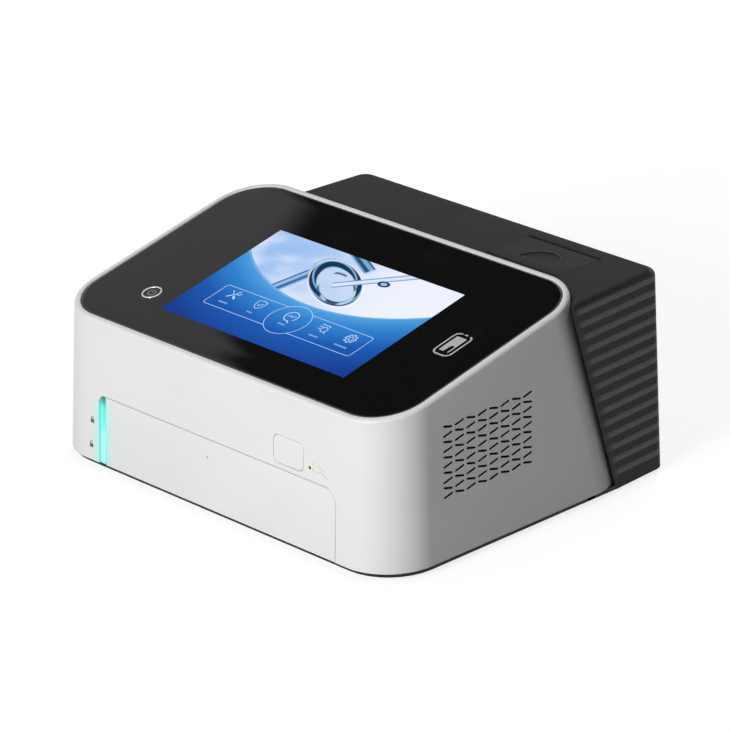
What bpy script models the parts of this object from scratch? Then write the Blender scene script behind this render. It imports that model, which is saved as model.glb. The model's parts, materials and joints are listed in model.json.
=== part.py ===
# Benchtop immunoassay analyzer: sloping touch panel in a drafted hood, ribbed rear housing with a
# receipt printer, push-to-open cartridge drawer, and a belt-driven reader head over the drawer.
# Metres, +Z up, X along the front, the front faces -Y, origin under the middle of the footprint.

import math

import bmesh
import bpy
from mathutils import Vector

MM = 0.001

# Clearances and cutter overrun
GAP = 0.3 * MM
SEAM = 0.4 * MM
OVERRUN = 8 * MM
WELD = 0.5 * MM
CORNER_STEPS = 8
ROUND_STEPS = 20
FINE_STEPS = 28

# Footprint and base
UNIT_WIDTH = 324 * MM
UNIT_DEPTH = 250.5 * MM
FOOT_HEIGHT = 2.5 * MM
FOOT_RADIUS = 7 * MM
FOOT_INSET_X = 30 * MM
FOOT_INSET_Y = 24 * MM
BASE_THICKNESS = 2.9 * MM
BASE_INSET = 1.6 * MM
BASE_FRONT_SETBACK = 2.7 * MM
DECK_STEP = 0.4 * MM
BASE_TOP = FOOT_HEIGHT + BASE_THICKNESS
FLOOR = BASE_TOP + GAP
POST_RADIUS = 4.5 * MM
POST_HEIGHT = 14 * MM
POST_INSET_X = 22 * MM
POST_INSET_Y = 34 * MM
STANDOFF_RADIUS = 3 * MM

# Hood
HOOD_BOTTOM = FLOOR
HOOD_HALF = UNIT_WIDTH / 2
REAR_REACH = 31.5 * MM
HOOD_DEPTH = UNIT_DEPTH - REAR_REACH
HOOD_CORNER = 37 * MM
HOOD_WALL = 2.6 * MM
PANEL_TILT = math.radians(12.67)
GLASS_FRONT_Y = 10.6 * MM
GLASS_FRONT_Z = 103.8 * MM
FLANK_LEAN = 4.2 * MM
BACK_LEAN = 44 * MM
RIM_FRONT = 5 * MM
RIM_SIDE = 4.6 * MM
RIM_REAR = 4.5 * MM
GLASS_HALF = HOOD_HALF - FLANK_LEAN - RIM_SIDE
GLASS_LENGTH = HOOD_DEPTH - BACK_LEAN
GLASS_CORNER = 31.6 * MM
GLASS_THICKNESS = 2.2 * MM
GLASS_BEVEL = 1.5 * MM
GLASS_BEVEL_DROP = 0.7 * MM
RIM_CORNER = 36.5 * MM
RIM_FILLET = 2.5 * MM
RIM_CREST = 0.4 * MM
RIM_CHAMFER = 0.5 * MM
LEDGE_WIDTH = 8 * MM
LEDGE_THICKNESS = 2 * MM
LEDGE_TOP = GLASS_THICKNESS + GAP
CABLE_WINDOW_INSET = (12 * MM, 34.4 * MM)
CABLE_WINDOW_Z = (11 * MM, 134.5 * MM)
CABLE_WINDOW_SETBACK = 43 * MM
CABLE_WINDOW_Y = (HOOD_DEPTH - CABLE_WINDOW_SETBACK, HOOD_DEPTH + OVERRUN)

# Drawer
DRAWER_INSET = (57.9 * MM, 47.7 * MM)
DRAWER_X = (-HOOD_HALF + DRAWER_INSET[0], HOOD_HALF - DRAWER_INSET[1])
DRAWER_HEIGHT = 46.8 * MM
DRAWER_CORNER = 10 * MM
DRAWER_FRONT_THICKNESS = 3 * MM
DRAWER_LIP = 0.6 * MM
STRIP_WIDTH = 6.8 * MM
STRIP_OPENING_LEFT = DRAWER_X[0] - STRIP_WIDTH
STRIP_OPENING_CORNER = 6 * MM
TRAY_SIDE_ROOM = 6.2 * MM
TRAY_HALF = (DRAWER_X[1] - DRAWER_X[0]) / 2 - TRAY_SIDE_ROOM
ELECTRONICS_ROOM = 124.3 * MM
TRAY_LENGTH = UNIT_DEPTH - ELECTRONICS_ROOM
TRAY_HEIGHT = 18.6 * MM
TRAY_LIFT = 2.7 * MM
TRAY_WALL = 2 * MM
TRAY_CORNER = 4 * MM
LANES = 8
LANE_SIDE_ROOM = 3 * MM
LANE_RIB = 2.6 * MM
LANE_PITCH = 2 * (TRAY_HALF - LANE_SIDE_ROOM) / LANES
LANE_WIDTH = LANE_PITCH - LANE_RIB
LANE_DEPTH = 3 * MM
LANE_MARGIN = 4 * MM
LANE_CORNER = 2.5 * MM
RAIL_WIDTH = 3.4 * MM
RAIL_HEIGHT = 3 * MM
RAIL_RISE = 6 * MM
RAIL_START = 16 * MM
RUNNER_WALL = 1.8 * MM
RUNNER_START = 9 * MM
LATCH_WIDTH = 16 * MM
LATCH_LENGTH = 18 * MM
LATCH_HEIGHT = 18 * MM
LATCH_DISTANCE = 2 * MM
STRIKER_WIDTH = 5 * MM
STRIKER_HEIGHT = 4 * MM
STRIKER_LENGTH = 7 * MM
STRIKER_RISE = 6 * MM
LATCH_POCKET_DEPTH = 9 * MM

# Light strip beside the drawer
STRIP_SETBACK = 2.5 * MM
STRIP_THICKNESS = 2.1 * MM
STRIP_FLANGE = 9 * MM
STRIP_FOOT = 0.6 * MM
STRIP_BOARD_THICKNESS = 1.6 * MM
STRIP_BOARD_MARGIN = 1.5 * MM

# Front key, indicator and mark grooves, in the plane of the front face
KEY_INSET = 90.55 * MM
KEY_LIFT = 59.95 * MM
KEY_CENTRE = (HOOD_HALF - KEY_INSET, KEY_LIFT)
KEY_WIDTH = 27.5 * MM
KEY_HEIGHT = 18.5 * MM
KEY_CORNER = 4.6 * MM
KEY_CHAMFER = 0.8 * MM
KEY_PROUD = 0.4 * MM
KEY_SEAT = 3.6 * MM
KEY_FLANGE = 1.2 * MM
KEY_FLANGE_THICKNESS = 1.4 * MM
LED_SHIFT = 19.45 * MM
LED_LIFT = 55.7 * MM
LED_PLACE = (KEY_CENTRE[0] + LED_SHIFT, LED_LIFT)
LED_RADIUS = 0.8 * MM
LED_SETBACK = 0.5 * MM
BOARD_THICKNESS = 1.6 * MM
KEY_BOARD_REACH = (26.45 * MM, 28.55 * MM)
KEY_BOARD_X = (KEY_CENTRE[0] - KEY_BOARD_REACH[0], KEY_CENTRE[0] + KEY_BOARD_REACH[1])
KEY_BOARD_HEIGHT = 22 * MM
KEY_BOARD_SETBACK = 10.6 * MM
KEY_BOSS_RADIUS = 2.5 * MM
SWITCH_BODY = 6 * MM
SWITCH_HEIGHT = 2.6 * MM
GROOVE_WIDTH = 0.9 * MM
GROOVE_DEPTH = 0.5 * MM
# The grooves' points count from the middle of the key.
LOWER_GROOVE = [
    (21.95 * MM, -4.85 * MM),
    (25.85 * MM, -4.85 * MM),
    (30.25 * MM, -4.25 * MM),
    (35.45 * MM, -6.85 * MM),
]
UPPER_GROOVE = [(23.05 * MM, -0.75 * MM), (28.25 * MM, -0.85 * MM), (32.15 * MM, -2.35 * MM)]

# Slanted air slots in both flanks
SLOT_COLUMNS = 8
SLOT_ROWS = 10
SLOT_PITCH_Y = 9.75 * MM
SLOT_PITCH_Z = 4.95 * MM
SLOT_LENGTH = 7.9 * MM
SLOT_WIDTH = 1.2 * MM
SLOT_SLANT = math.radians(14)
SLOT_FIRST_Y = 57 * MM
SLOT_TOP_Z = 91.5 * MM

# Things under the glass, in the plane of the glass
SCREEN_INSET = (69 * MM, 67 * MM)
SCREEN_START = 22 * MM
SCREEN_END_ROOM = 34 * MM
SCREEN_X = (-HOOD_HALF + SCREEN_INSET[0], HOOD_HALF - SCREEN_INSET[1])
SCREEN_S = (SCREEN_START, GLASS_LENGTH - SCREEN_END_ROOM)
SCREEN_DEPTH = 4.2 * MM
SCREEN_BACK_INSET = 12 * MM
SCREEN_BACK_DEPTH = 2 * MM
READER_INSET = (58 * MM, 20 * MM)
READER_REACH = (111 * MM, 62 * MM)
READER_X = (HOOD_HALF - READER_INSET[0], HOOD_HALF - READER_INSET[1])
READER_S = (GLASS_LENGTH - READER_REACH[0], GLASS_LENGTH - READER_REACH[1])
READER_COIL_INSET = 5 * MM
READER_COIL_WIDTH = 2 * MM
READER_COIL_DEPTH = 0.6 * MM
POWER_INSET = 56.7 * MM
POWER_ALONG = 37.8 * MM
POWER_PLACE = (-HOOD_HALF + POWER_INSET, POWER_ALONG)
POWER_RING_RADIUS = 6.9 * MM
POWER_RING_WALL = 1.2 * MM
POWER_RING_PROUD = 0.5 * MM
POWER_RING_FLANGE = 2.1 * MM
POWER_RING_FLANGE_THICKNESS = 1.5 * MM
POWER_RING_DEPTH = 6.7 * MM
POWER_BUTTON_DEPTH = 3 * MM
POWER_BUTTON_CHAMFER = 0.4 * MM
POWER_BOARD_HALF = 11 * MM
POWER_SWITCH_RADIUS = 3 * MM
POWER_SWITCH_HEIGHT = 2.6 * MM

# Reader head drive over the drawer
DRIVE_CENTRE_X = (DRAWER_X[0] + DRAWER_X[1]) / 2
DRIVE_SIDE_ROOM = 13 * MM
DRIVE_HALF = TRAY_HALF + DRIVE_SIDE_ROOM
DRIVE_SHIFT = 16.9 * MM
DRIVE_MIDDLE = TRAY_LENGTH / 2 + DRIVE_SHIFT
DRIVE_LENGTH = 70 * MM
DRIVE_Y = (DRIVE_MIDDLE - DRIVE_LENGTH / 2, DRIVE_MIDDLE + DRIVE_LENGTH / 2)
BRACKET_SHEET = 2.5 * MM
BRACKET_FOOT = 10 * MM
BRACKET_SHELF = 22 * MM
SHELF_HEIGHT = 61.3 * MM
BRACKET_WINDOW = 24 * MM
BRACKET_WINDOW_HEIGHT = 20 * MM
BRACKET_WINDOW_SILL = 9 * MM
BRACKET_WINDOW_CORNER = 4 * MM
ROD_RADIUS = 3 * MM
ROD_SPREAD = 20 * MM
ROD_HEIGHT = 40.3 * MM
ROD_END = 1.5 * MM
HEAD_HALF = 20 * MM
HEAD_HALF_Y = 28 * MM
HEAD_BELOW_ROD = 6 * MM
HEAD_ABOVE_ROD = 10 * MM
HEAD_CHAMFER = 5 * MM
SNOUT_HALF = 10 * MM
SNOUT_HALF_Y = 14 * MM
SNOUT_DEPTH = 7 * MM
CLAMP_HALF = 6 * MM
CLAMP_JAW = 1.5 * MM
CLAMP_HEIGHT = 10 * MM
CLAMP_BASE = 3.2 * MM
PULLEY_INSET = 13.5 * MM
PULLEY_RADIUS = 5.6 * MM
PULLEY_FLANGE = 1.8 * MM
PULLEY_FLANGE_THICKNESS = 1 * MM
PULLEY_DROP = 0.4 * MM
PULLEY_LENGTH = 8.3 * MM
PULLEY_BORE = 2 * MM
BELT_THICKNESS = 1 * MM
BELT_WIDTH = 5.6 * MM
MOTOR_HALF = 14 * MM
MOTOR_HEIGHT = 24 * MM
MOTOR_CORNER = 4 * MM
MOTOR_PILOT = 7 * MM
HEAD_HOME_LANE = 0

# Cooling fan behind the right flank
FAN_HALF = 25 * MM
FAN_THICKNESS = 10 * MM
FAN_CORNER = 4 * MM
FAN_HOLE = 23.2 * MM
FAN_CENTRE_Y = 91.1 * MM
FAN_CENTRE_Z = 69.2 * MM
FAN_HUB = 9.5 * MM
FAN_HUB_DEPTH = 6.6 * MM
FAN_TIP_GAP = 0.6 * MM
FAN_STRUT = 2.4 * MM
FAN_STRUT_DEPTH = 1.8 * MM
FAN_BLADES = 7
FAN_BLADE_THICKNESS = 1 * MM
FAN_BLADE_CHORD = 9 * MM
FAN_BLADE_PITCH = math.radians(34)
FAN_BLADE_TIP_PITCH = math.radians(22)
FAN_PIN = 1.2 * MM

# Rear housing. Its plan narrows towards the back, and its front follows the lean of the hood's back.
REAR_WALL = 2.6 * MM
REAR_TOP = 138.7 * MM
REAR_LENGTH_LOW = 39.9 * MM
REAR_LENGTH_HIGH = 77.3 * MM
REAR_INSET = (45 * MM, 4.6 * MM)
REAR_FRONT_LOW = UNIT_DEPTH - REAR_LENGTH_LOW
REAR_FRONT_HIGH = UNIT_DEPTH - REAR_LENGTH_HIGH
REAR_LEFT = -HOOD_HALF + REAR_INSET[0]
REAR_RIGHT = HOOD_HALF - REAR_INSET[1]
REAR_TAPER = math.radians(3.7)
REAR_SIDE_DRAFT = 1.2 * MM
REAR_BACK_DRAFT = 2 * MM
REAR_FRONT_CORNER = 4 * MM
REAR_CORNER = 10 * MM
REAR_FILLET = 3 * MM
REAR_STEPS = 6
RIB_COUNT = 14
RIB_PITCH = 9.18 * MM
RIB_TOP = 135 * MM
RIB_HEIGHT = 4 * MM
RIB_DEPTH = 0.9 * MM
RIB_RETURN = 0.5 * MM
REAR_SLOTS = 9
REAR_SLOT_WIDTH = 3 * MM
REAR_SLOT_PITCH = 7 * MM
REAR_SLOT_Z = (62 * MM, 92 * MM)
REAR_SLOT_INSET = 57 * MM

# Receipt printer in the rear housing, set back from the lid's front edge and down from the top
LID_INSET = 76.1 * MM
LID_SETBACK = 55.6 * MM
LID_CENTRE_X = HOOD_HALF - LID_INSET
LID_HALF = 32 * MM
LID_FRONT = UNIT_DEPTH - LID_SETBACK
LID_LENGTH = 36.1 * MM
LID_THICKNESS = 2.6 * MM
LID_CHAMFER = 0.5 * MM
PAPER_SLOT = 1 * MM
HINGE_ROUND = 5 * MM
HINGE_LIP = 4 * MM
HINGE_BARREL = 2.9 * MM
HINGE_PIN = 1.25 * MM
HINGE_BARREL_MARGIN = 3 * MM
RECESS_SHIFT = 1.45 * MM
RECESS_BACK = 10 * MM
RECESS_HALF = 14.75 * MM
RECESS_LENGTH = 18 * MM
RECESS_DEPTH = 2.2 * MM
RECESS_DRAFT = 1 * MM
RECESS_WALL = 1.2 * MM
RECESS_STEPS = 14
BAY_WALL = 2.1 * MM
BAY_FRONT_DROP = 14.3 * MM
BAY_LENGTH = 44 * MM
BAY_DEPTH = 44.8 * MM
BAY_CHAMFER = 8 * MM
BAY_BACK_CHAMFER = 4 * MM
ROLL_RADIUS = 15 * MM
ROLL_CORE = 6 * MM
ROLL_WIDTH = 57 * MM
ROLL_BACK = 23 * MM
TROUGH_RADIUS = 16.5 * MM
TROUGH_DROP = 26.3 * MM
PLATEN_RADIUS = 3.3 * MM
PLATEN_BACK = 7.2 * MM
PLATEN_DROP = 9.3 * MM
PLATEN_HALF = 28 * MM
PLATEN_GEAR_RADIUS = 3.9 * MM
PLATEN_GEAR_TOOTH = 0.8 * MM
PLATEN_GEAR_TEETH = 12
PLATEN_GEAR_WIDTH = 1.6 * MM
EAR_THICKNESS = 2 * MM
EAR_INSET = 1 * MM
EAR_HALF = 3.4 * MM
EAR_BELOW = 2.4 * MM
PRINT_HEAD_DEPTH = 2.6 * MM
PRINT_HEAD_HALF = 28.3 * MM
PRINT_HEAD_DROP = 4.7 * MM
TEAR_TEETH = 24
TEAR_TOOTH = 0.9 * MM
TEAR_THICKNESS = 0.7 * MM
TEAR_DEPTH = 2.4 * MM

# Electronics and rear sockets
SUPPLY_INSET = (100 * MM, 30 * MM)
SUPPLY_SETBACK = (110.5 * MM, 46.5 * MM)
SUPPLY_X = (HOOD_HALF - SUPPLY_INSET[0], HOOD_HALF - SUPPLY_INSET[1])
SUPPLY_Y = (UNIT_DEPTH - SUPPLY_SETBACK[0], UNIT_DEPTH - SUPPLY_SETBACK[1])
BOARD_INSET = 19 * MM
BOARD_SPACING = 22 * MM
BOARD_SETBACK = (86.5 * MM, 9.5 * MM)
BOARD_X = (REAR_LEFT + BOARD_INSET, SUPPLY_X[0] - BOARD_SPACING)
BOARD_Y = (UNIT_DEPTH - BOARD_SETBACK[0], UNIT_DEPTH - BOARD_SETBACK[1])
BOARD_LIFT = 8.6 * MM
BOARD_HOLE_INSET = 6 * MM
SINK_HALF = 18 * MM
SINK_INSET = 60 * MM
SINK_SETBACK = 56.5 * MM
SINK_CENTRE = (BOARD_X[1] - SINK_INSET, UNIT_DEPTH - SINK_SETBACK)
SINK_BASE = 3 * MM
SINK_HEIGHT = 16 * MM
SINK_FINS = 8
SINK_FIN = 1.6 * MM
SOCKET_RECESS = 1.4 * MM
SOCKET_BACK = UNIT_DEPTH - SOCKET_RECESS
USB_INSET = 39 * MM
USB_CENTRE_X = REAR_LEFT + USB_INSET
USB_SIZE = (14.5 * MM, 17.5 * MM, 15.6 * MM)
USB_MOUTH = (12.4 * MM, 5.4 * MM)
USB_MOUTH_DEPTH = 12 * MM
USB_MOUTH_RISES = (1.2 * MM, 8.8 * MM)
LAN_INSET = 67 * MM
LAN_CENTRE_X = REAR_LEFT + LAN_INSET
LAN_SIZE = (16 * MM, 19 * MM, 13.4 * MM)
LAN_MOUTH = (11.8 * MM, 8 * MM)
LAN_MOUTH_DEPTH = 11 * MM
LAN_MOUTH_RISE = 2.6 * MM
SERIAL_INSET = 101 * MM
SERIAL_CENTRE_X = REAR_LEFT + SERIAL_INSET
SERIAL_SIZE = (31 * MM, 14 * MM, 12.5 * MM)
SERIAL_SHELL = (17 * MM, 8.4 * MM)
SERIAL_SLOPE = 1.6 * MM
SERIAL_SHELL_WALL = 0.8 * MM
SERIAL_SHELL_DEPTH = 5.5 * MM
MAINS_HEIGHT = 34 * MM
INLET_INSET = 42 * MM
INLET_CENTRE = (HOOD_HALF - INLET_INSET, MAINS_HEIGHT)
INLET_SNOUT = (28 * MM, 20 * MM)
INLET_CHAMFER = 5 * MM
INLET_FLANGE = (42 * MM, 25 * MM)
INLET_FLANGE_THICKNESS = 2.5 * MM
INLET_DEPTH = 24 * MM
INLET_WALL = 2 * MM
INLET_MOUTH_DEPTH = 17 * MM
INLET_PIN = (2 * MM, 4 * MM)
INLET_PIN_LENGTH = 11 * MM
INLET_PIN_SPREAD = 7 * MM
INLET_PIN_OFFSET = 3 * MM
ROCKER_INSET = 82 * MM
ROCKER_CENTRE = (HOOD_HALF - ROCKER_INSET, MAINS_HEIGHT)
ROCKER_FRAME = (15.4 * MM, 22.4 * MM)
ROCKER_WALL = 1.6 * MM
ROCKER_FRAME_DEPTH = 12 * MM
ROCKER_FLANGE = 2.5 * MM
ROCKER_FLANGE_THICKNESS = 1.5 * MM
ROCKER_TILT = math.radians(8)
ROCKER_PIVOT_DEPTH = 6 * MM
ROCKER_CROWN = 1 * MM
ROCKER_THICKNESS = 4.5 * MM
ROCKER_END_GAP = 0.8 * MM
ROCKER_PIN = 1.2 * MM
SUPPLY_LIFT = 6 * MM
SUPPLY_STANDOFF_INSET = 5 * MM
COIL_SIZE = (30 * MM, 26 * MM, 24 * MM)
CAPACITOR_RADIUS = 8 * MM
CAPACITOR_HEIGHT = 26 * MM
FIN_PLATE = (3 * MM, 44 * MM, 22 * MM)

MATERIALS = {
    # name: colour, roughness, metallic
    "white_abs": ((0.80, 0.81, 0.82), 0.38, 0.0),
    "charcoal_abs": ((0.045, 0.046, 0.048), 0.5, 0.0),
    "black_base": ((0.03, 0.03, 0.032), 0.55, 0.0),
    "glass_black": ((0.008, 0.008, 0.01), 0.06, 0.0),
    "polished_steel": ((0.72, 0.73, 0.74), 0.18, 1.0),
    "brushed_steel": ((0.55, 0.56, 0.57), 0.35, 1.0),
    "light_guide": ((0.45, 0.95, 0.88), 0.3, 0.0),
    "clear_pipe": ((0.75, 0.9, 0.2), 0.2, 0.0),
    "circuit_green": ((0.02, 0.16, 0.07), 0.45, 0.0),
    "grey_nylon": ((0.35, 0.36, 0.38), 0.5, 0.0),
    "black_nylon": ((0.02, 0.02, 0.022), 0.45, 0.0),
    "rubber": ((0.015, 0.015, 0.016), 0.8, 0.0),
    "aluminium": ((0.6, 0.61, 0.62), 0.3, 1.0),
    "paper": ((0.86, 0.86, 0.84), 0.9, 0.0),
}

AXES = {
    "X": lambda u, v, w: (w, u, v),
    "Y": lambda u, v, w: (u, w, v),
    "Z": lambda u, v, w: (u, v, w),
}


# Scene helpers


def clear_scene():
    for thing in list(bpy.data.objects):
        bpy.data.objects.remove(thing, do_unlink=True)


def make_material(name):
    colour, roughness, metallic = MATERIALS[name]
    material = bpy.data.materials.new(name)
    material.use_nodes = True
    shader = material.node_tree.nodes["Principled BSDF"]
    shader.inputs["Base Color"].default_value = (*colour, 1)
    shader.inputs["Roughness"].default_value = roughness
    shader.inputs["Metallic"].default_value = metallic
    material.diffuse_color = (*colour, 1)
    return material


def add_empty(name, parent=None, at=(0, 0, 0), turn=(0, 0, 0)):
    empty = bpy.data.objects.new(name, None)
    bpy.context.collection.objects.link(empty)
    empty.parent = parent
    empty.location = at
    empty.rotation_euler = turn
    return empty


def add_piece(name, shape, parent, material=None, at=(0, 0, 0), turn=(0, 0, 0)):
    bmesh.ops.recalc_face_normals(shape, faces=shape.faces)
    mesh = bpy.data.meshes.new(name)
    shape.to_mesh(mesh)
    shape.free()
    mesh.shade_smooth()
    mesh.set_sharp_from_angle(angle=math.radians(30))
    piece = bpy.data.objects.new(name, mesh)
    bpy.context.collection.objects.link(piece)
    piece.parent = parent
    piece.location = at
    piece.rotation_euler = turn
    if material:
        known = bpy.data.materials.get(material)
        mesh.materials.append(known or make_material(material))
    return piece


def boolean(target, shape, parent, operation, at=(0, 0, 0), turn=(0, 0, 0)):
    tool = add_piece(f"{target.name}_{operation.lower()}", shape, parent, None, at, turn)
    tool.hide_render = True
    tool.display_type = "WIRE"
    modifier = target.modifiers.new(tool.name, "BOOLEAN")
    modifier.operation = operation
    modifier.solver = "EXACT"
    modifier.object = tool


def cut(target, shape, parent, at=(0, 0, 0), turn=(0, 0, 0)):
    boolean(target, shape, parent, "DIFFERENCE", at, turn)


def weld(target, shape, parent, at=(0, 0, 0), turn=(0, 0, 0)):
    boolean(target, shape, parent, "UNION", at, turn)


# Outlines


def rounded_rect(low_x, high_x, low_y, high_y, radii, steps=CORNER_STEPS):
    # Counter-clockwise from the low corner. A corner of radius 0 is one point.
    if not isinstance(radii, tuple):
        radii = (radii,) * 4
    corners = [
        (low_x + radii[0], low_y + radii[0], radii[0], 180),
        (high_x - radii[1], low_y + radii[1], radii[1], 270),
        (high_x - radii[2], high_y - radii[2], radii[2], 0),
        (low_x + radii[3], high_y - radii[3], radii[3], 90),
    ]
    points = []
    for centre_x, centre_y, radius, start in corners:
        if radius == 0:
            points.append((centre_x, centre_y))
            continue
        for step in range(steps + 1):
            angle = math.radians(start + 90 * step / steps)
            points.append((centre_x + radius * math.cos(angle), centre_y + radius * math.sin(angle)))
    return points


def filleted(corners, steps=REAR_STEPS):
    # Each corner is (x, y, radius), counter-clockwise. The round stretches are true tangent arcs.
    points = []
    for index, (x, y, radius) in enumerate(corners):
        here = Vector((x, y))
        before = (Vector(corners[index - 1][:2]) - here).normalized()
        after = (Vector(corners[(index + 1) % len(corners)][:2]) - here).normalized()
        half = before.angle(after) / 2
        centre = here + (before + after).normalized() * radius / math.sin(half)
        start = here + before * radius / math.tan(half) - centre
        end = here + after * radius / math.tan(half) - centre
        sweep = start.angle_signed(end)
        for step in range(steps + 1):
            turned_by = -sweep * step / steps
            point = Vector((
                start.x * math.cos(turned_by) - start.y * math.sin(turned_by),
                start.x * math.sin(turned_by) + start.y * math.cos(turned_by),
            ))
            points.append(tuple(centre + point))
    return points


def circle(radius, steps=ROUND_STEPS, centre=(0, 0)):
    points = []
    for step in range(steps):
        angle = math.tau * step / steps
        points.append((centre[0] + radius * math.cos(angle), centre[1] + radius * math.sin(angle)))
    return points


def arc(centre, radius, start, end, steps):
    points = []
    for step in range(steps + 1):
        angle = math.radians(start + (end - start) * step / steps)
        points.append((centre[0] + radius * math.cos(angle), centre[1] + radius * math.sin(angle)))
    return points


# Solids


def loft(rings, closed=False):
    shape = bmesh.new()
    rows = [[shape.verts.new(point) for point in ring] for ring in rings]
    following = rows[1:] + rows[:1] if closed else rows[1:]
    for low, high in zip(rows, following):
        for index in range(len(low)):
            after = (index + 1) % len(low)
            shape.faces.new((low[index], low[after], high[after], high[index]))
    if not closed:
        shape.faces.new(rows[0])
        shape.faces.new(rows[-1])
    return shape


def prism(outline, low, high, axis="Z"):
    place = AXES[axis]
    return loft([[place(u, v, w) for u, v in outline] for w in (low, high)])


def block(x, y, z):
    return prism([(x[0], y[0]), (x[1], y[0]), (x[1], y[1]), (x[0], y[1])], z[0], z[1])


def turned(profile, axis="Z", steps=ROUND_STEPS, bored=False):
    # The profile lists (radius, place on the axis).
    place = AXES[axis]
    rings = []
    for radius, along in profile:
        rings.append([place(u, v, along) for u, v in circle(radius, steps)])
    return loft(rings, closed=bored)


def gathered(shapes):
    whole = bmesh.new()
    for shape in shapes:
        bmesh.ops.recalc_face_normals(shape, faces=shape.faces)
        carrier = bpy.data.meshes.new("carrier")
        shape.to_mesh(carrier)
        shape.free()
        whole.from_mesh(carrier)
        bpy.data.meshes.remove(carrier)
    return whole


def around(centre, half):
    return (centre - half, centre + half)


# Frames that the pieces hang from


def panel_point(x, along, above):
    # A point over the glass plane, in the unit's frame.
    cosine = math.cos(PANEL_TILT)
    sine = math.sin(PANEL_TILT)
    return (
        x,
        GLASS_FRONT_Y + along * cosine - above * sine,
        GLASS_FRONT_Z + along * sine + above * cosine,
    )


def rim_outline(grow):
    half = GLASS_HALF + RIM_SIDE + grow
    return rounded_rect(-half, half, -RIM_FRONT - grow, GLASS_LENGTH + RIM_REAR + grow, RIM_CORNER + grow)


def glass_outline(grow):
    half = GLASS_HALF + grow
    return rounded_rect(-half, half, -grow, GLASS_LENGTH + grow, GLASS_CORNER + grow)


def foot_outline(grow):
    half = HOOD_HALF + grow
    return rounded_rect(-half, half, -grow, HOOD_DEPTH + grow, HOOD_CORNER + grow)


def on_panel(outline, above):
    return [panel_point(x, along, above) for x, along in outline]


def at_height(outline, z):
    return [(x, y, z) for x, y in outline]


RIM_EDGE = RIM_FILLET - RIM_CREST
FRONT_TOP = panel_point(0, -RIM_FRONT, -RIM_EDGE)
FRONT_DRAFT = math.atan2(FRONT_TOP[1], FRONT_TOP[2] - HOOD_BOTTOM)
INNER_TOP = LEDGE_TOP + LEDGE_THICKNESS


def inner_outline():
    # Under the ledge, with the front wall kept parallel although the glass plane leans.
    half = GLASS_HALF + RIM_SIDE - HOOD_WALL
    shift = (INNER_TOP - RIM_EDGE) * math.tan(PANEL_TILT + FRONT_DRAFT)
    front = -RIM_FRONT + HOOD_WALL - shift
    return rounded_rect(-half, half, front, GLASS_LENGTH + RIM_REAR - HOOD_WALL, RIM_CORNER - HOOD_WALL)


def flank_inner(y, z):
    # Half-width of the inside of the hood's flank at a height, with its lean from the vertical.
    along = (y - GLASS_FRONT_Y) / math.cos(PANEL_TILT)
    top = panel_point(0, along, -INNER_TOP)[2]
    bottom_half = HOOD_HALF - HOOD_WALL
    top_half = GLASS_HALF + RIM_SIDE - HOOD_WALL
    share = (z - HOOD_BOTTOM) / (top - HOOD_BOTTOM)
    lean = math.atan2(bottom_half - top_half, top - HOOD_BOTTOM)
    return bottom_half + (top_half - bottom_half) * share, lean


# Hood and front


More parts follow.
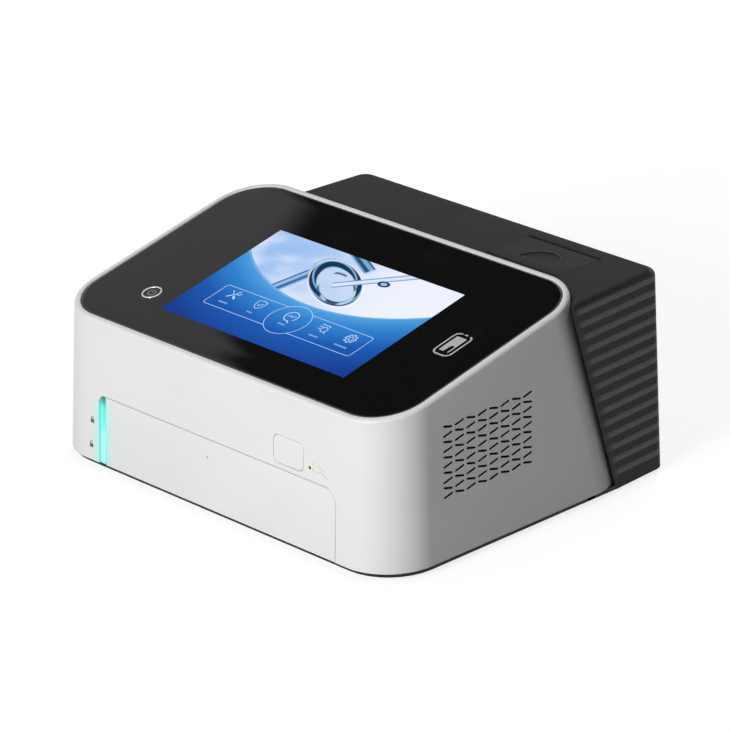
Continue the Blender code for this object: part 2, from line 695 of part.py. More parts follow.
def make_hood(root, face):
    rings = [at_height(foot_outline(0), HOOD_BOTTOM)]
    for step in range(4):
        angle = math.radians(30 * step)
        inset = RIM_FILLET * (1 - math.cos(angle))
        rings.append(on_panel(rim_outline(-inset), RIM_FILLET * math.sin(angle) - RIM_EDGE))
    rings.append(on_panel(glass_outline(GAP + RIM_CHAMFER), RIM_CREST))
    rings.append(on_panel(glass_outline(GAP), RIM_CREST - RIM_CHAMFER))
    rings.append(on_panel(glass_outline(GAP), -LEDGE_TOP))
    rings.append(on_panel(glass_outline(-LEDGE_WIDTH), -LEDGE_TOP))
    rings.append(on_panel(glass_outline(-LEDGE_WIDTH), -INNER_TOP))
    rings.append(on_panel(inner_outline(), -INNER_TOP))
    rings.append(at_height(foot_outline(-HOOD_WALL), HOOD_BOTTOM))
    hood = add_piece("hood", loft(rings, closed=True), root, "white_abs")
    opening = rounded_rect(
        STRIP_OPENING_LEFT,
        DRAWER_X[1] + SEAM,
        -OVERRUN,
        DRAWER_HEIGHT + SEAM,
        (0, 0, DRAWER_CORNER + SEAM, STRIP_OPENING_CORNER),
    )
    cut(hood, prism(opening, -OVERRUN, HOOD_WALL + OVERRUN, "Y"), face)
    key_hole = rounded_rect(
        KEY_CENTRE[0] - KEY_WIDTH / 2 - GAP,
        KEY_CENTRE[0] + KEY_WIDTH / 2 + GAP,
        KEY_CENTRE[1] - KEY_HEIGHT / 2 - GAP,
        KEY_CENTRE[1] + KEY_HEIGHT / 2 + GAP,
        KEY_CORNER + GAP,
        REAR_STEPS,
    )
    cut(hood, prism(key_hole, -OVERRUN, HOOD_WALL + OVERRUN, "Y"), face)
    pinhole = circle(LED_RADIUS + GAP, 12, LED_PLACE)
    cut(hood, prism(pinhole, -OVERRUN, HOOD_WALL + OVERRUN, "Y"), face)
    for points in (LOWER_GROOVE, UPPER_GROOVE):
        route = [(KEY_CENTRE[0] + x, KEY_CENTRE[1] + z) for x, z in points]
        cut(hood, prism(ribbon(route, GROOVE_WIDTH), -GROOVE_DEPTH, GROOVE_DEPTH, "Y"), face)
    for side in (-1, 1):
        cut(hood, slot_bank(side), root)
    window_x = (REAR_LEFT + CABLE_WINDOW_INSET[0], REAR_RIGHT - CABLE_WINDOW_INSET[1])
    cut(hood, block(window_x, CABLE_WINDOW_Y, CABLE_WINDOW_Z), root)
    boss_end = KEY_BOARD_SETBACK - GAP
    bosses = []
    for boss_x in (KEY_BOARD_X[0] + 2 * KEY_BOSS_RADIUS, KEY_BOARD_X[1] - KEY_BOSS_RADIUS):
        outline = circle(KEY_BOSS_RADIUS, 12, (boss_x, KEY_CENTRE[1] + KEY_BOSS_RADIUS))
        bosses.append(prism(outline, HOOD_WALL - WELD, boss_end, "Y"))
    weld(hood, gathered(bosses), face)
    return hood


def ribbon(route, width):
    # The outline of a groove of even width along a route of points.
    left = []
    right = []
    for index, point in enumerate(route):
        before = Vector(route[max(index - 1, 0)])
        after = Vector(route[min(index + 1, len(route) - 1)])
        side = (after - before).normalized().orthogonal() * width / 2
        left.append(tuple(Vector(point) + side))
        right.append(tuple(Vector(point) - side))
    return left + right[::-1]


def slot_bank(side):
    # Slats of air through one flank, each row and column leaning the other way from its neighbour.
    slots = []
    for column in range(SLOT_COLUMNS):
        for row in range(SLOT_ROWS):
            lean = SLOT_SLANT * (-1 if (column + row) % 2 == 0 else 1)
            centre_y = SLOT_FIRST_Y + column * SLOT_PITCH_Y
            centre_z = SLOT_TOP_Z - row * SLOT_PITCH_Z
            corners = []
            for along, across in ((-1, -1), (1, -1), (1, 1), (-1, 1)):
                u = along * SLOT_LENGTH / 2
                v = across * SLOT_WIDTH / 2
                corners.append((
                    centre_y + u * math.cos(lean) - v * math.sin(lean),
                    centre_z + u * math.sin(lean) + v * math.cos(lean),
                ))
            wall, _ = flank_inner(centre_y, centre_z)
            reach = sorted((side * (wall - HOOD_WALL), side * (wall + 2 * HOOD_WALL)))
            slots.append(prism(corners, reach[0], reach[1], "X"))
    return gathered(slots)


def make_glass(panel):
    rings = []
    for grow, above in (
        (0, -GLASS_THICKNESS),
        (0, -GLASS_BEVEL_DROP),
        (-GLASS_BEVEL / 3, -GLASS_BEVEL_DROP / 3),
        (-GLASS_BEVEL, 0),
    ):
        rings.append([(x, along, above) for x, along in glass_outline(grow)])
    glass = add_piece("glass_panel", loft(rings), panel, "glass_black")
    hole = circle(POWER_RING_RADIUS + GAP, FINE_STEPS, POWER_PLACE)
    cut(glass, prism(hole, -OVERRUN, OVERRUN), panel)


def make_screen(panel):
    back = -LEDGE_TOP - SCREEN_DEPTH
    body = block(SCREEN_X, SCREEN_S, (back, -LEDGE_TOP))
    screen = add_piece("display_module", body, panel, "brushed_steel")
    inner_x = (SCREEN_X[0] + SCREEN_BACK_INSET, SCREEN_X[1] - SCREEN_BACK_INSET)
    inner_s = (SCREEN_S[0] + SCREEN_BACK_INSET, SCREEN_S[1] - SCREEN_BACK_INSET)
    weld(screen, block(inner_x, inner_s, (back - SCREEN_BACK_DEPTH, back + WELD)), panel)


def make_tap_reader(panel):
    board = block(READER_X, READER_S, (-LEDGE_TOP - BOARD_THICKNESS, -LEDGE_TOP))
    reader = add_piece("tap_reader", board, panel, "circuit_green")
    rings = []
    for inset in (READER_COIL_INSET, READER_COIL_INSET + READER_COIL_WIDTH):
        outline = rounded_rect(
            READER_X[0] + inset,
            READER_X[1] - inset,
            READER_S[0] + inset,
            READER_S[1] - inset,
            READER_COIL_INSET - READER_COIL_WIDTH / 2,
            3,
        )
        rings.append(outline)
    low = -LEDGE_TOP - BOARD_THICKNESS - READER_COIL_DEPTH
    high = -LEDGE_TOP - BOARD_THICKNESS + READER_COIL_DEPTH
    outer, inner = rings
    coil = [
        [(x, s, low) for x, s in outer],
        [(x, s, high) for x, s in outer],
        [(x, s, high) for x, s in inner],
        [(x, s, low) for x, s in inner],
    ]
    weld(reader, loft(coil, closed=True), panel)


def make_power_button(panel):
    hub = add_empty("power_axis", panel, (*POWER_PLACE, 0))
    inner = POWER_RING_RADIUS - POWER_RING_WALL
    flange = POWER_RING_RADIUS + POWER_RING_FLANGE
    profile = [
        (inner, POWER_RING_PROUD - RIM_CHAMFER),
        (inner + RIM_CHAMFER / 2, POWER_RING_PROUD),
        (POWER_RING_RADIUS - RIM_CHAMFER / 2, POWER_RING_PROUD),
        (POWER_RING_RADIUS, POWER_RING_PROUD - RIM_CHAMFER),
        (POWER_RING_RADIUS, -LEDGE_TOP),
        (flange, -LEDGE_TOP),
        (flange, -LEDGE_TOP - POWER_RING_FLANGE_THICKNESS),
        (POWER_RING_RADIUS, -LEDGE_TOP - POWER_RING_FLANGE_THICKNESS),
        (POWER_RING_RADIUS, -POWER_RING_DEPTH),
        (inner, -POWER_RING_DEPTH),
    ]
    add_piece("power_ring", turned(profile, steps=FINE_STEPS, bored=True), hub, "polished_steel")
    radius = inner - GAP
    cap = turned(
        [(radius, -POWER_BUTTON_DEPTH), (radius, -POWER_BUTTON_CHAMFER), (radius - POWER_BUTTON_CHAMFER, 0)],
        steps=FINE_STEPS,
    )
    add_piece("power_button", cap, hub, "black_nylon")
    top = -POWER_RING_DEPTH - GAP
    half = (-POWER_BOARD_HALF, POWER_BOARD_HALF)
    sheet = block(half, half, (top - BOARD_THICKNESS, top))
    board = add_piece("power_board", sheet, hub, "circuit_green")
    switch = [(POWER_SWITCH_RADIUS, top - WELD), (POWER_SWITCH_RADIUS, top + POWER_SWITCH_HEIGHT)]
    weld(board, turned(switch), hub)


def make_key(face):
    hub = add_empty("key_axis", face, (KEY_CENTRE[0], 0, KEY_CENTRE[1]))
    half_x = KEY_WIDTH / 2
    half_z = KEY_HEIGHT / 2
    rings = []
    for grow, depth in (
        (-KEY_CHAMFER, -KEY_PROUD),
        (0, KEY_CHAMFER - KEY_PROUD),
        (0, KEY_SEAT),
        (KEY_FLANGE, KEY_SEAT),
        (KEY_FLANGE, KEY_SEAT + KEY_FLANGE_THICKNESS),
    ):
        outline = rounded_rect(
            -half_x - grow, half_x + grow, -half_z - grow, half_z + grow, KEY_CORNER + grow, REAR_STEPS
        )
        rings.append([(x, depth, z) for x, z in outline])
    add_piece("drawer_key", loft(rings), hub, "white_abs")
    middle = KEY_CENTRE[1] + KEY_BOSS_RADIUS
    height = around(middle, KEY_BOARD_HEIGHT / 2)
    depth = (KEY_BOARD_SETBACK, KEY_BOARD_SETBACK + BOARD_THICKNESS)
    board = add_piece("key_board", block(KEY_BOARD_X, depth, height), face, "circuit_green")
    switch_x = around(KEY_CENTRE[0], SWITCH_BODY / 2)
    switch_z = around(KEY_CENTRE[1], SWITCH_BODY / 2)
    switch_y = (KEY_BOARD_SETBACK - SWITCH_HEIGHT, KEY_BOARD_SETBACK + WELD)
    weld(board, block(switch_x, switch_y, switch_z), face)
    pipe = prism(circle(LED_RADIUS, 12, LED_PLACE), LED_SETBACK, KEY_BOARD_SETBACK - GAP, "Y")
    add_piece("status_led", pipe, face, "clear_pipe")


def make_light_strip(face):
    left = STRIP_OPENING_LEFT + GAP
    right = DRAWER_X[0] - GAP
    behind = HOOD_WALL + GAP
    back = STRIP_SETBACK + STRIP_THICKNESS + GAP
    flange_left = STRIP_OPENING_LEFT - STRIP_FLANGE
    profile = [
        (left, STRIP_SETBACK),
        (right, STRIP_SETBACK),
        (right, back),
        (flange_left, back),
        (flange_left, behind),
        (left, behind),
    ]
    top = DRAWER_HEIGHT - STRIP_OPENING_CORNER / 2
    add_piece("light_strip", prism(profile, STRIP_FOOT, top), face, "light_guide")
    board = block(
        (flange_left, right),
        (back + GAP, back + GAP + STRIP_BOARD_THICKNESS),
        (STRIP_FOOT + STRIP_BOARD_MARGIN, top - STRIP_BOARD_MARGIN),
    )
    add_piece("strip_board", board, face, "circuit_green")


# Drawer


def make_drawer(root):
    slide = add_empty("drawer_slide", root, (DRIVE_CENTRE_X, 0, HOOD_BOTTOM))
    outline = rounded_rect(
        DRAWER_X[0] - DRIVE_CENTRE_X,
        DRAWER_X[1] - DRIVE_CENTRE_X,
        0,
        DRAWER_HEIGHT,
        (0, 0, DRAWER_CORNER, 0),
    )
    lip = rounded_rect(
        DRAWER_X[0] - DRIVE_CENTRE_X,
        DRAWER_X[1] - DRIVE_CENTRE_X,
        DRAWER_LIP,
        DRAWER_HEIGHT,
        (0, 0, DRAWER_CORNER, 0),
    )
    rings = [
        [(x, 0, z) for x, z in lip],
        [(x, DRAWER_LIP, z) for x, z in outline],
        [(x, DRAWER_FRONT_THICKNESS, z) for x, z in outline],
    ]
    add_piece("drawer_front", loft(rings), slide, "white_abs", turn=(-FRONT_DRAFT, 0, 0))
    tray_top = TRAY_LIFT + TRAY_HEIGHT
    start = DRAWER_FRONT_THICKNESS / math.cos(FRONT_DRAFT) + tray_top * math.tan(FRONT_DRAFT) + GAP
    end = start + TRAY_LENGTH
    body = prism(
        rounded_rect(-TRAY_HALF, TRAY_HALF, start, end, TRAY_CORNER, 3), TRAY_LIFT, tray_top
    )
    tray = add_piece("drawer_tray", body, slide, "grey_nylon")
    inner_half = TRAY_HALF - TRAY_WALL
    floor = TRAY_LIFT + TRAY_WALL
    pocket = rounded_rect(
        -inner_half, inner_half, start + TRAY_WALL, end - TRAY_WALL, TRAY_CORNER - TRAY_WALL, 3
    )
    cut(tray, prism(pocket, floor + LANE_DEPTH, tray_top + OVERRUN), slide)
    lanes = []
    for lane in range(LANES):
        centre = (lane - (LANES - 1) / 2) * LANE_PITCH
        outline = rounded_rect(
            centre - LANE_WIDTH / 2,
            centre + LANE_WIDTH / 2,
            start + LANE_MARGIN,
            end - LANE_MARGIN,
            LANE_CORNER,
            2,
        )
        lanes.append(prism(outline, floor, floor + LANE_DEPTH + TRAY_WALL))
    cut(tray, gathered(lanes), slide)
    rails = []
    rail_z = (TRAY_LIFT + RAIL_RISE, TRAY_LIFT + RAIL_RISE + RAIL_HEIGHT)
    for side in (-1, 1):
        rail_x = sorted((side * (TRAY_HALF - WELD), side * (TRAY_HALF + RAIL_WIDTH)))
        rails.append(block(rail_x, (start + RAIL_START, end - TRAY_WALL), rail_z))
    weld(tray, gathered(rails), slide)
    striker_z = (TRAY_LIFT + STRIKER_RISE, TRAY_LIFT + STRIKER_RISE + STRIKER_HEIGHT)
    striker = block(around(0, STRIKER_WIDTH / 2), (end - WELD, end + STRIKER_LENGTH), striker_z)
    weld(tray, striker, slide)
    make_runners(root, start, end)
    make_latch(root, end)


def make_runners(root, start, end):
    # C-section rails that stand on the base and hold the ribs on the tray's sides.
    reach = TRAY_HALF + RAIL_WIDTH + GAP
    low = FLOOR + TRAY_LIFT + RAIL_RISE - GAP
    high = low + RAIL_HEIGHT + 2 * GAP
    for side, name in ((-1, "runner_left"), (1, "runner_right")):
        inner = TRAY_HALF + GAP
        profile = [
            (reach + RUNNER_WALL, FLOOR),
            (reach + RUNNER_WALL, high + RUNNER_WALL),
            (inner, high + RUNNER_WALL),
            (inner, high),
            (reach, high),
            (reach, low),
            (inner, low),
            (inner, low - RUNNER_WALL),
            (reach, low - RUNNER_WALL),
            (reach, FLOOR),
        ]
        outline = [(DRIVE_CENTRE_X + side * x, z) for x, z in profile]
        add_piece(name, prism(outline, start + RUNNER_START, end, "Y"), root, "brushed_steel")


def make_latch(root, tray_end):
    front = tray_end + LATCH_DISTANCE
    body = block(
        around(DRIVE_CENTRE_X, LATCH_WIDTH / 2),
        (front, front + LATCH_LENGTH),
        (FLOOR, FLOOR + LATCH_HEIGHT),
    )
    latch = add_piece("push_latch", body, root, "black_nylon")
    low = FLOOR + TRAY_LIFT + STRIKER_RISE - 2 * GAP
    mouth = block(
        around(DRIVE_CENTRE_X, STRIKER_WIDTH / 2 + 2 * GAP),
        (front - OVERRUN, front + LATCH_POCKET_DEPTH),
        (low, low + STRIKER_HEIGHT + 4 * GAP),
    )
    cut(latch, mouth, root)


# Base


def rear_side(side, y, lift_share):
    # Where a side wall of the rear housing stands, at a place along it and a share of its height.
    back_x = REAR_RIGHT if side > 0 else REAR_LEFT
    widening = (UNIT_DEPTH - y) * math.tan(REAR_TAPER)
    return back_x + side * (widening - REAR_SIDE_DRAFT * lift_share)


def rear_corners(grow, lift_share):
    # Plan of the rear housing at a share of its height, as corners with their radii.
    back = UNIT_DEPTH - REAR_BACK_DRAFT * lift_share + grow
    front = REAR_FRONT_LOW + (REAR_FRONT_HIGH - REAR_FRONT_LOW) * lift_share - grow
    front_radius = max(REAR_FRONT_CORNER + grow, WELD)
    back_radius = max(REAR_CORNER + grow, WELD)
    return [
        (rear_side(-1, front, lift_share) - grow, front, front_radius),
        (rear_side(1, front, lift_share) + grow, front, front_radius),
        (rear_side(1, back, lift_share) + grow, back, back_radius),
        (rear_side(-1, back, lift_share) - grow, back, back_radius),
    ]


def make_base(root):
    front_half = HOOD_HALF - BASE_INSET
    plate = rounded_rect(
        -front_half, front_half, BASE_FRONT_SETBACK, HOOD_DEPTH - BASE_INSET, HOOD_CORNER - BASE_INSET
    )
    base = add_piece("base_tray", prism(plate, FOOT_HEIGHT, BASE_TOP), root, "black_base")
    deck = filleted(rear_corners(-REAR_WALL - GAP, 0))
    weld(base, prism(deck, FOOT_HEIGHT + DECK_STEP, BASE_TOP - DECK_STEP), root)
    low = FOOT_HEIGHT + BASE_THICKNESS / 2
    posts = []
    post_y = (POST_INSET_Y, HOOD_DEPTH - 2 * POST_INSET_Y)
    for post_x in (-HOOD_HALF + POST_INSET_X, HOOD_HALF - POST_INSET_X):
        for y in post_y:
            posts.append(prism(circle(POST_RADIUS, 16, (post_x, y)), low, BASE_TOP + POST_HEIGHT))
    for x_range, y_range, inset, lift in (
        (BOARD_X, BOARD_Y, BOARD_HOLE_INSET, BOARD_LIFT),
        (SUPPLY_X, SUPPLY_Y, SUPPLY_STANDOFF_INSET, SUPPLY_LIFT),
    ):
        for x in (x_range[0] + inset, x_range[1] - inset):
            for y in (y_range[0] + inset, y_range[1] - inset):
                posts.append(prism(circle(STANDOFF_RADIUS, 12, (x, y)), low, BASE_TOP + lift - GAP))
    weld(base, gathered(posts), root)
    foot = [(FOOT_RADIUS - GAP, 0), (FOOT_RADIUS, GAP), (FOOT_RADIUS, FOOT_HEIGHT - GAP)]
    places = [
        ("foot_front_left", -HOOD_HALF + FOOT_INSET_X, FOOT_INSET_Y),
        ("foot_front_right", HOOD_HALF - FOOT_INSET_X, FOOT_INSET_Y),
        ("foot_rear_right", HOOD_HALF - FOOT_INSET_X, UNIT_DEPTH - FOOT_INSET_Y),
        ("foot_rear_left", REAR_LEFT + FOOT_INSET_Y, UNIT_DEPTH - FOOT_INSET_Y),
    ]
    for name, x, y in places:
        add_piece(name, turned(foot), root, "rubber", at=(x, y, 0))


# Reader head drive


def bracket_profile(side):
    wall = DRIVE_HALF
    sheet = BRACKET_SHEET
    shelf = FLOOR + SHELF_HEIGHT
    profile = [
        (wall + sheet + BRACKET_FOOT, FLOOR),
        (wall + sheet + BRACKET_FOOT, FLOOR + sheet),
        (wall + sheet, FLOOR + sheet),
        (wall + sheet, shelf + sheet),
        (wall - BRACKET_SHELF, shelf + sheet),
        (wall - BRACKET_SHELF, shelf),
        (wall, shelf),
        (wall, FLOOR),
    ]
    return [(DRIVE_CENTRE_X + side * x, z) for x, z in profile]


def make_drive(root):
    middle_y = DRIVE_MIDDLE
    rod_z = FLOOR + ROD_HEIGHT
    rods_y = (middle_y - ROD_SPREAD, middle_y + ROD_SPREAD)
    shelf = FLOOR + SHELF_HEIGHT
    pulley_top = shelf - PULLEY_DROP
    pulley_low = pulley_top - PULLEY_LENGTH
    reach = DRIVE_HALF + BRACKET_SHEET + OVERRUN
    brackets = {}
    for side, name in ((-1, "scan_bracket_left"), (1, "scan_bracket_right")):
        shape = prism(bracket_profile(side), DRIVE_Y[0], DRIVE_Y[1], "Y")
        bracket = add_piece(name, shape, root, "aluminium")
        span = sorted((DRIVE_CENTRE_X + side * (DRIVE_HALF - OVERRUN), DRIVE_CENTRE_X + side * reach))
        holes = []
        for y in rods_y:
            bore = circle(ROD_RADIUS + GAP, ROUND_STEPS, (y, rod_z))
            holes.append(prism(bore, span[0], span[1], "X"))
            sill = FLOOR + BRACKET_WINDOW_SILL
            window = rounded_rect(
                y - BRACKET_WINDOW / 2,
                y + BRACKET_WINDOW / 2,
                sill,
                sill + BRACKET_WINDOW_HEIGHT,
                BRACKET_WINDOW_CORNER,
                3,
            )
            holes.append(prism(window, span[0], span[1], "X"))
        cut(bracket, gathered(holes), root)
        brackets[side] = bracket
    for y, name in zip(rods_y, ("guide_rod_front", "guide_rod_rear")):
        half = DRIVE_HALF + BRACKET_SHEET + ROD_END
        rod = turned([(ROD_RADIUS, -half), (ROD_RADIUS, half)], "X")
        add_piece(name, rod, root, "polished_steel", at=(DRIVE_CENTRE_X, y, rod_z))

    make_head(root, middle_y, rod_z)

    pulley_x = DRIVE_HALF - PULLEY_INSET
    rim = PULLEY_RADIUS + PULLEY_FLANGE
    bore = PULLEY_BORE + GAP
    profile = [
        (rim, 0),
        (rim, PULLEY_FLANGE_THICKNESS),
        (PULLEY_RADIUS, PULLEY_FLANGE_THICKNESS),
        (PULLEY_RADIUS, PULLEY_LENGTH - PULLEY_FLANGE_THICKNESS),
        (rim, PULLEY_LENGTH - PULLEY_FLANGE_THICKNESS),
        (rim, PULLEY_LENGTH),
        (bore, PULLEY_LENGTH),
        (bore, 0),
    ]
    for side, name in ((-1, "idler_pulley"), (1, "drive_pulley")):
        place = (DRIVE_CENTRE_X + side * pulley_x, middle_y, pulley_low)
        add_piece(name, turned(profile, bored=True), root, "aluminium", at=place)
    belt_low = pulley_low + (PULLEY_LENGTH - BELT_WIDTH) / 2
    rings = []
    for radius, z in (
        (PULLEY_RADIUS + GAP, belt_low),
        (PULLEY_RADIUS + GAP, belt_low + BELT_WIDTH),
        (PULLEY_RADIUS + GAP + BELT_THICKNESS, belt_low + BELT_WIDTH),
        (PULLEY_RADIUS + GAP + BELT_THICKNESS, belt_low),
    ):
        loop = rounded_rect(-pulley_x - radius, pulley_x + radius, -radius, radius, radius - GAP / 10)
        rings.append([(x, y, z) for x, y in loop])
    add_piece("scan_belt", loft(rings, closed=True), root, "rubber", at=(DRIVE_CENTRE_X, middle_y, 0))

    idler_place = (DRIVE_CENTRE_X - pulley_x, middle_y, 0)
    pin = turned([(PULLEY_BORE, pulley_low - GAP), (PULLEY_BORE, shelf + WELD)], steps=12)
    weld(brackets[-1], pin, root, at=idler_place)

    motor_place = (DRIVE_CENTRE_X + pulley_x, middle_y, 0)
    pilot = turned([(MOTOR_PILOT + GAP, shelf - OVERRUN), (MOTOR_PILOT + GAP, shelf + OVERRUN)])
    cut(brackets[1], pilot, root, at=motor_place)
    low = shelf + BRACKET_SHEET + GAP
    square = rounded_rect(-MOTOR_HALF, MOTOR_HALF, -MOTOR_HALF, MOTOR_HALF, MOTOR_CORNER, 2)
    body = prism(square, low, low + MOTOR_HEIGHT)
    motor = add_piece("scan_motor", body, root, "black_nylon", at=motor_place)
    spigot = turned([
        (PULLEY_BORE, pulley_low - GAP),
        (PULLEY_BORE, shelf + GAP),
        (MOTOR_PILOT, shelf + GAP),
        (MOTOR_PILOT, low + WELD),
    ])
    weld(motor, spigot, root, at=motor_place)


def make_head(root, middle_y, rod_z):
    home = DRIVE_CENTRE_X + (HEAD_HOME_LANE - (LANES - 1) / 2) * LANE_PITCH
    slide = add_empty("head_slide", root, (home, middle_y, rod_z))
    low = -HEAD_BELOW_ROD
    high = HEAD_ABOVE_ROD
    half = HEAD_HALF_Y
    profile = [
        (-half, low),
        (half, low),
        (half, high - HEAD_CHAMFER),
        (half - HEAD_CHAMFER, high),
        (-half + HEAD_CHAMFER, high),
        (-half, high - HEAD_CHAMFER),
    ]
    head = add_piece("optical_head", prism(profile, -HEAD_HALF, HEAD_HALF, "X"), slide, "black_nylon")
    snout = []
    for narrowing, z in ((1, low + WELD), (2, low - SNOUT_DEPTH)):
        x = SNOUT_HALF / narrowing
        y = SNOUT_HALF_Y / narrowing
        snout.append(at_height(rounded_rect(-x, x, -y, y, WELD, 1), z))
    weld(head, loft(snout), slide)
    strand = PULLEY_RADIUS + GAP
    jaws = (strand - GAP - CLAMP_JAW, strand + BELT_THICKNESS + GAP + CLAMP_JAW)
    clamp_top = high + CLAMP_HEIGHT
    weld(head, block((-CLAMP_HALF, CLAMP_HALF), jaws, (high - WELD, clamp_top)), slide)
    groove = (strand - GAP, strand + BELT_THICKNESS + GAP)
    cut(head, block((-HEAD_HALF, HEAD_HALF), groove, (high + CLAMP_BASE, clamp_top + OVERRUN)), slide)
    bores = []
    for side in (-1, 1):
        outline = circle(ROD_RADIUS + GAP, ROUND_STEPS, (side * ROD_SPREAD, 0))
        bores.append(prism(outline, -HEAD_HALF - OVERRUN, HEAD_HALF + OVERRUN, "X"))
    cut(head, gathered(bores), slide)


# Cooling fan


def make_fan(root):
    wall, lean = flank_inner(FAN_CENTRE_Y, FAN_CENTRE_Z)
    hub = add_empty("fan_axis", root, (wall - SEAM, FAN_CENTRE_Y, FAN_CENTRE_Z), (0, -lean, 0))
    outline = rounded_rect(-FAN_HALF, FAN_HALF, -FAN_HALF, FAN_HALF, FAN_CORNER, 3)
    frame = add_piece("fan_frame", prism(outline, -FAN_THICKNESS, 0, "X"), hub, "black_nylon")
    cut(frame, turned([(FAN_HOLE, -FAN_THICKNESS - OVERRUN), (FAN_HOLE, OVERRUN)], "X", FINE_STEPS), hub)
    back = -FAN_THICKNESS
    weld(frame, turned([(FAN_HUB, back), (FAN_HUB, back + FAN_STRUT_DEPTH)], "X"), hub)
    reach = FAN_HOLE + FAN_CORNER / 2
    for turn in range(4):
        spoke = block(
            (back, back + FAN_STRUT_DEPTH), (FAN_HUB - FAN_STRUT, reach), around(0, FAN_STRUT / 2)
        )
        weld(frame, spoke, hub, turn=(math.radians(45 + 90 * turn), 0, 0))
    pin_end = back + FAN_STRUT_DEPTH + FAN_HUB_DEPTH / 2
    weld(frame, turned([(FAN_PIN, back + WELD), (FAN_PIN, pin_end)], "X", 12), hub)
    start = back + FAN_STRUT_DEPTH + GAP
    end = start + FAN_HUB_DEPTH
    profile = [(FAN_HUB, start), (FAN_HUB, end - FAN_STRUT / 2), (FAN_HUB - FAN_STRUT / 2, end)]
    rotor = add_piece("fan_rotor", turned(profile, "X", FINE_STEPS), hub, "black_nylon")
    middle = (start + end) / 2
    blades = []
    for number in range(FAN_BLADES):
        around_axis = math.tau * number / FAN_BLADES
        sections = []
        for share in (0, 0.5, 1):
            radius = FAN_HUB - FAN_STRUT / 2 + (FAN_HOLE - FAN_TIP_GAP - FAN_HUB + FAN_STRUT / 2) * share
            pitch = FAN_BLADE_PITCH + (FAN_BLADE_TIP_PITCH - FAN_BLADE_PITCH) * share
            sections.append(blade_section(radius, pitch, around_axis, middle))
        blades.append(loft(sections))
    weld(rotor, gathered(blades), hub)
    cut(rotor, turned([(FAN_PIN + GAP, start - OVERRUN), (FAN_PIN + GAP, pin_end + GAP)], "X", 12), hub)


def blade_section(radius, pitch, around_axis, middle):
    # Four corners of a pitched blade, wrapped round the axis so that the root follows the hub.
    points = []
    for chord, side in ((-0.5, -0.5), (0.5, -0.5), (0.5, 0.5), (-0.5, 0.5)):
        along = chord * FAN_BLADE_CHORD
        thick = side * FAN_BLADE_THICKNESS
        x = middle + along * math.sin(pitch) + thick * math.cos(pitch)
        tangent = along * math.cos(pitch) - thick * math.sin(pitch)
        angle = around_axis + tangent / radius
        points.append((x, radius * math.cos(angle), radius * math.sin(angle)))
    return points


# Rear housing


def make_rear_housing(root):
    rings = [at_height(filleted(rear_corners(0, 0)), FOOT_HEIGHT)]
    for step in range(4):
        angle = math.radians(30 * step)
        inset = REAR_FILLET * (1 - math.cos(angle))
        z = REAR_TOP - REAR_FILLET + REAR_FILLET * math.sin(angle)
        rings.append(at_height(filleted(rear_corners(-inset, 1)), z))
    housing = add_piece("rear_housing", loft(rings), root, "charcoal_abs")
    inside = [
        at_height(filleted(rear_corners(-REAR_WALL, 0)), FOOT_HEIGHT - OVERRUN),
        at_height(filleted(rear_corners(-REAR_WALL, 0)), FOOT_HEIGHT),
        at_height(filleted(rear_corners(-REAR_WALL, 1)), REAR_TOP - REAR_WALL),
    ]
    cut(housing, loft(inside), root)
    envelope = [
        at_height(foot_outline(GAP), FOOT_HEIGHT - OVERRUN),
        at_height(foot_outline(GAP), HOOD_BOTTOM),
        on_panel(rim_outline(GAP), -RIM_EDGE),
        on_panel(rim_outline(GAP), OVERRUN * 2),
    ]
    cut(housing, loft(envelope), root)
    for side in (-1, 1):
        cut(housing, rib_bank(side), root)
    lid = (LID_CENTRE_X - LID_HALF - GAP, LID_CENTRE_X + LID_HALF + GAP)
    lid_y = (LID_FRONT - PAPER_SLOT, HINGE_Y + HINGE_LIP)
    cut(housing, block(lid, lid_y, (REAR_TOP - REAR_WALL - OVERRUN / 2, REAR_TOP + OVERRUN)), root)
    sweep = turned([(HINGE_ROUND + GAP, lid[0]), (HINGE_ROUND + GAP, lid[1])], "X", FINE_STEPS)
    cut(housing, sweep, root, at=(0, HINGE_Y, HINGE_Z))
    wall_y = (UNIT_DEPTH - REAR_WALL - OVERRUN / 2, UNIT_DEPTH + OVERRUN)
    mouths = []
    for centre, size in (
        (USB_CENTRE_X, USB_SIZE),
        (LAN_CENTRE_X, LAN_SIZE),
        (SERIAL_CENTRE_X, SERIAL_SIZE),
    ):
        low = board_top() + GAP
        mouths.append(block(around(centre, size[0] / 2 + GAP), wall_y, (low - GAP, low + size[2] + GAP)))
    for centre, size in ((INLET_CENTRE, INLET_SNOUT), (ROCKER_CENTRE, ROCKER_FRAME)):
        mouths.append(
            block(around(centre[0], size[0] / 2 + GAP), wall_y, around(centre[1], size[1] / 2 + GAP))
        )
    for slot in range(REAR_SLOTS):
        x = REAR_LEFT + REAR_SLOT_INSET + slot * REAR_SLOT_PITCH
        outline = rounded_rect(
            x - REAR_SLOT_WIDTH / 2, x + REAR_SLOT_WIDTH / 2, *REAR_SLOT_Z, REAR_SLOT_WIDTH / 2 - GAP / 3, 2
        )
        mouths.append(prism(outline, *wall_y, "Y"))
    cut(housing, gathered(mouths), root)


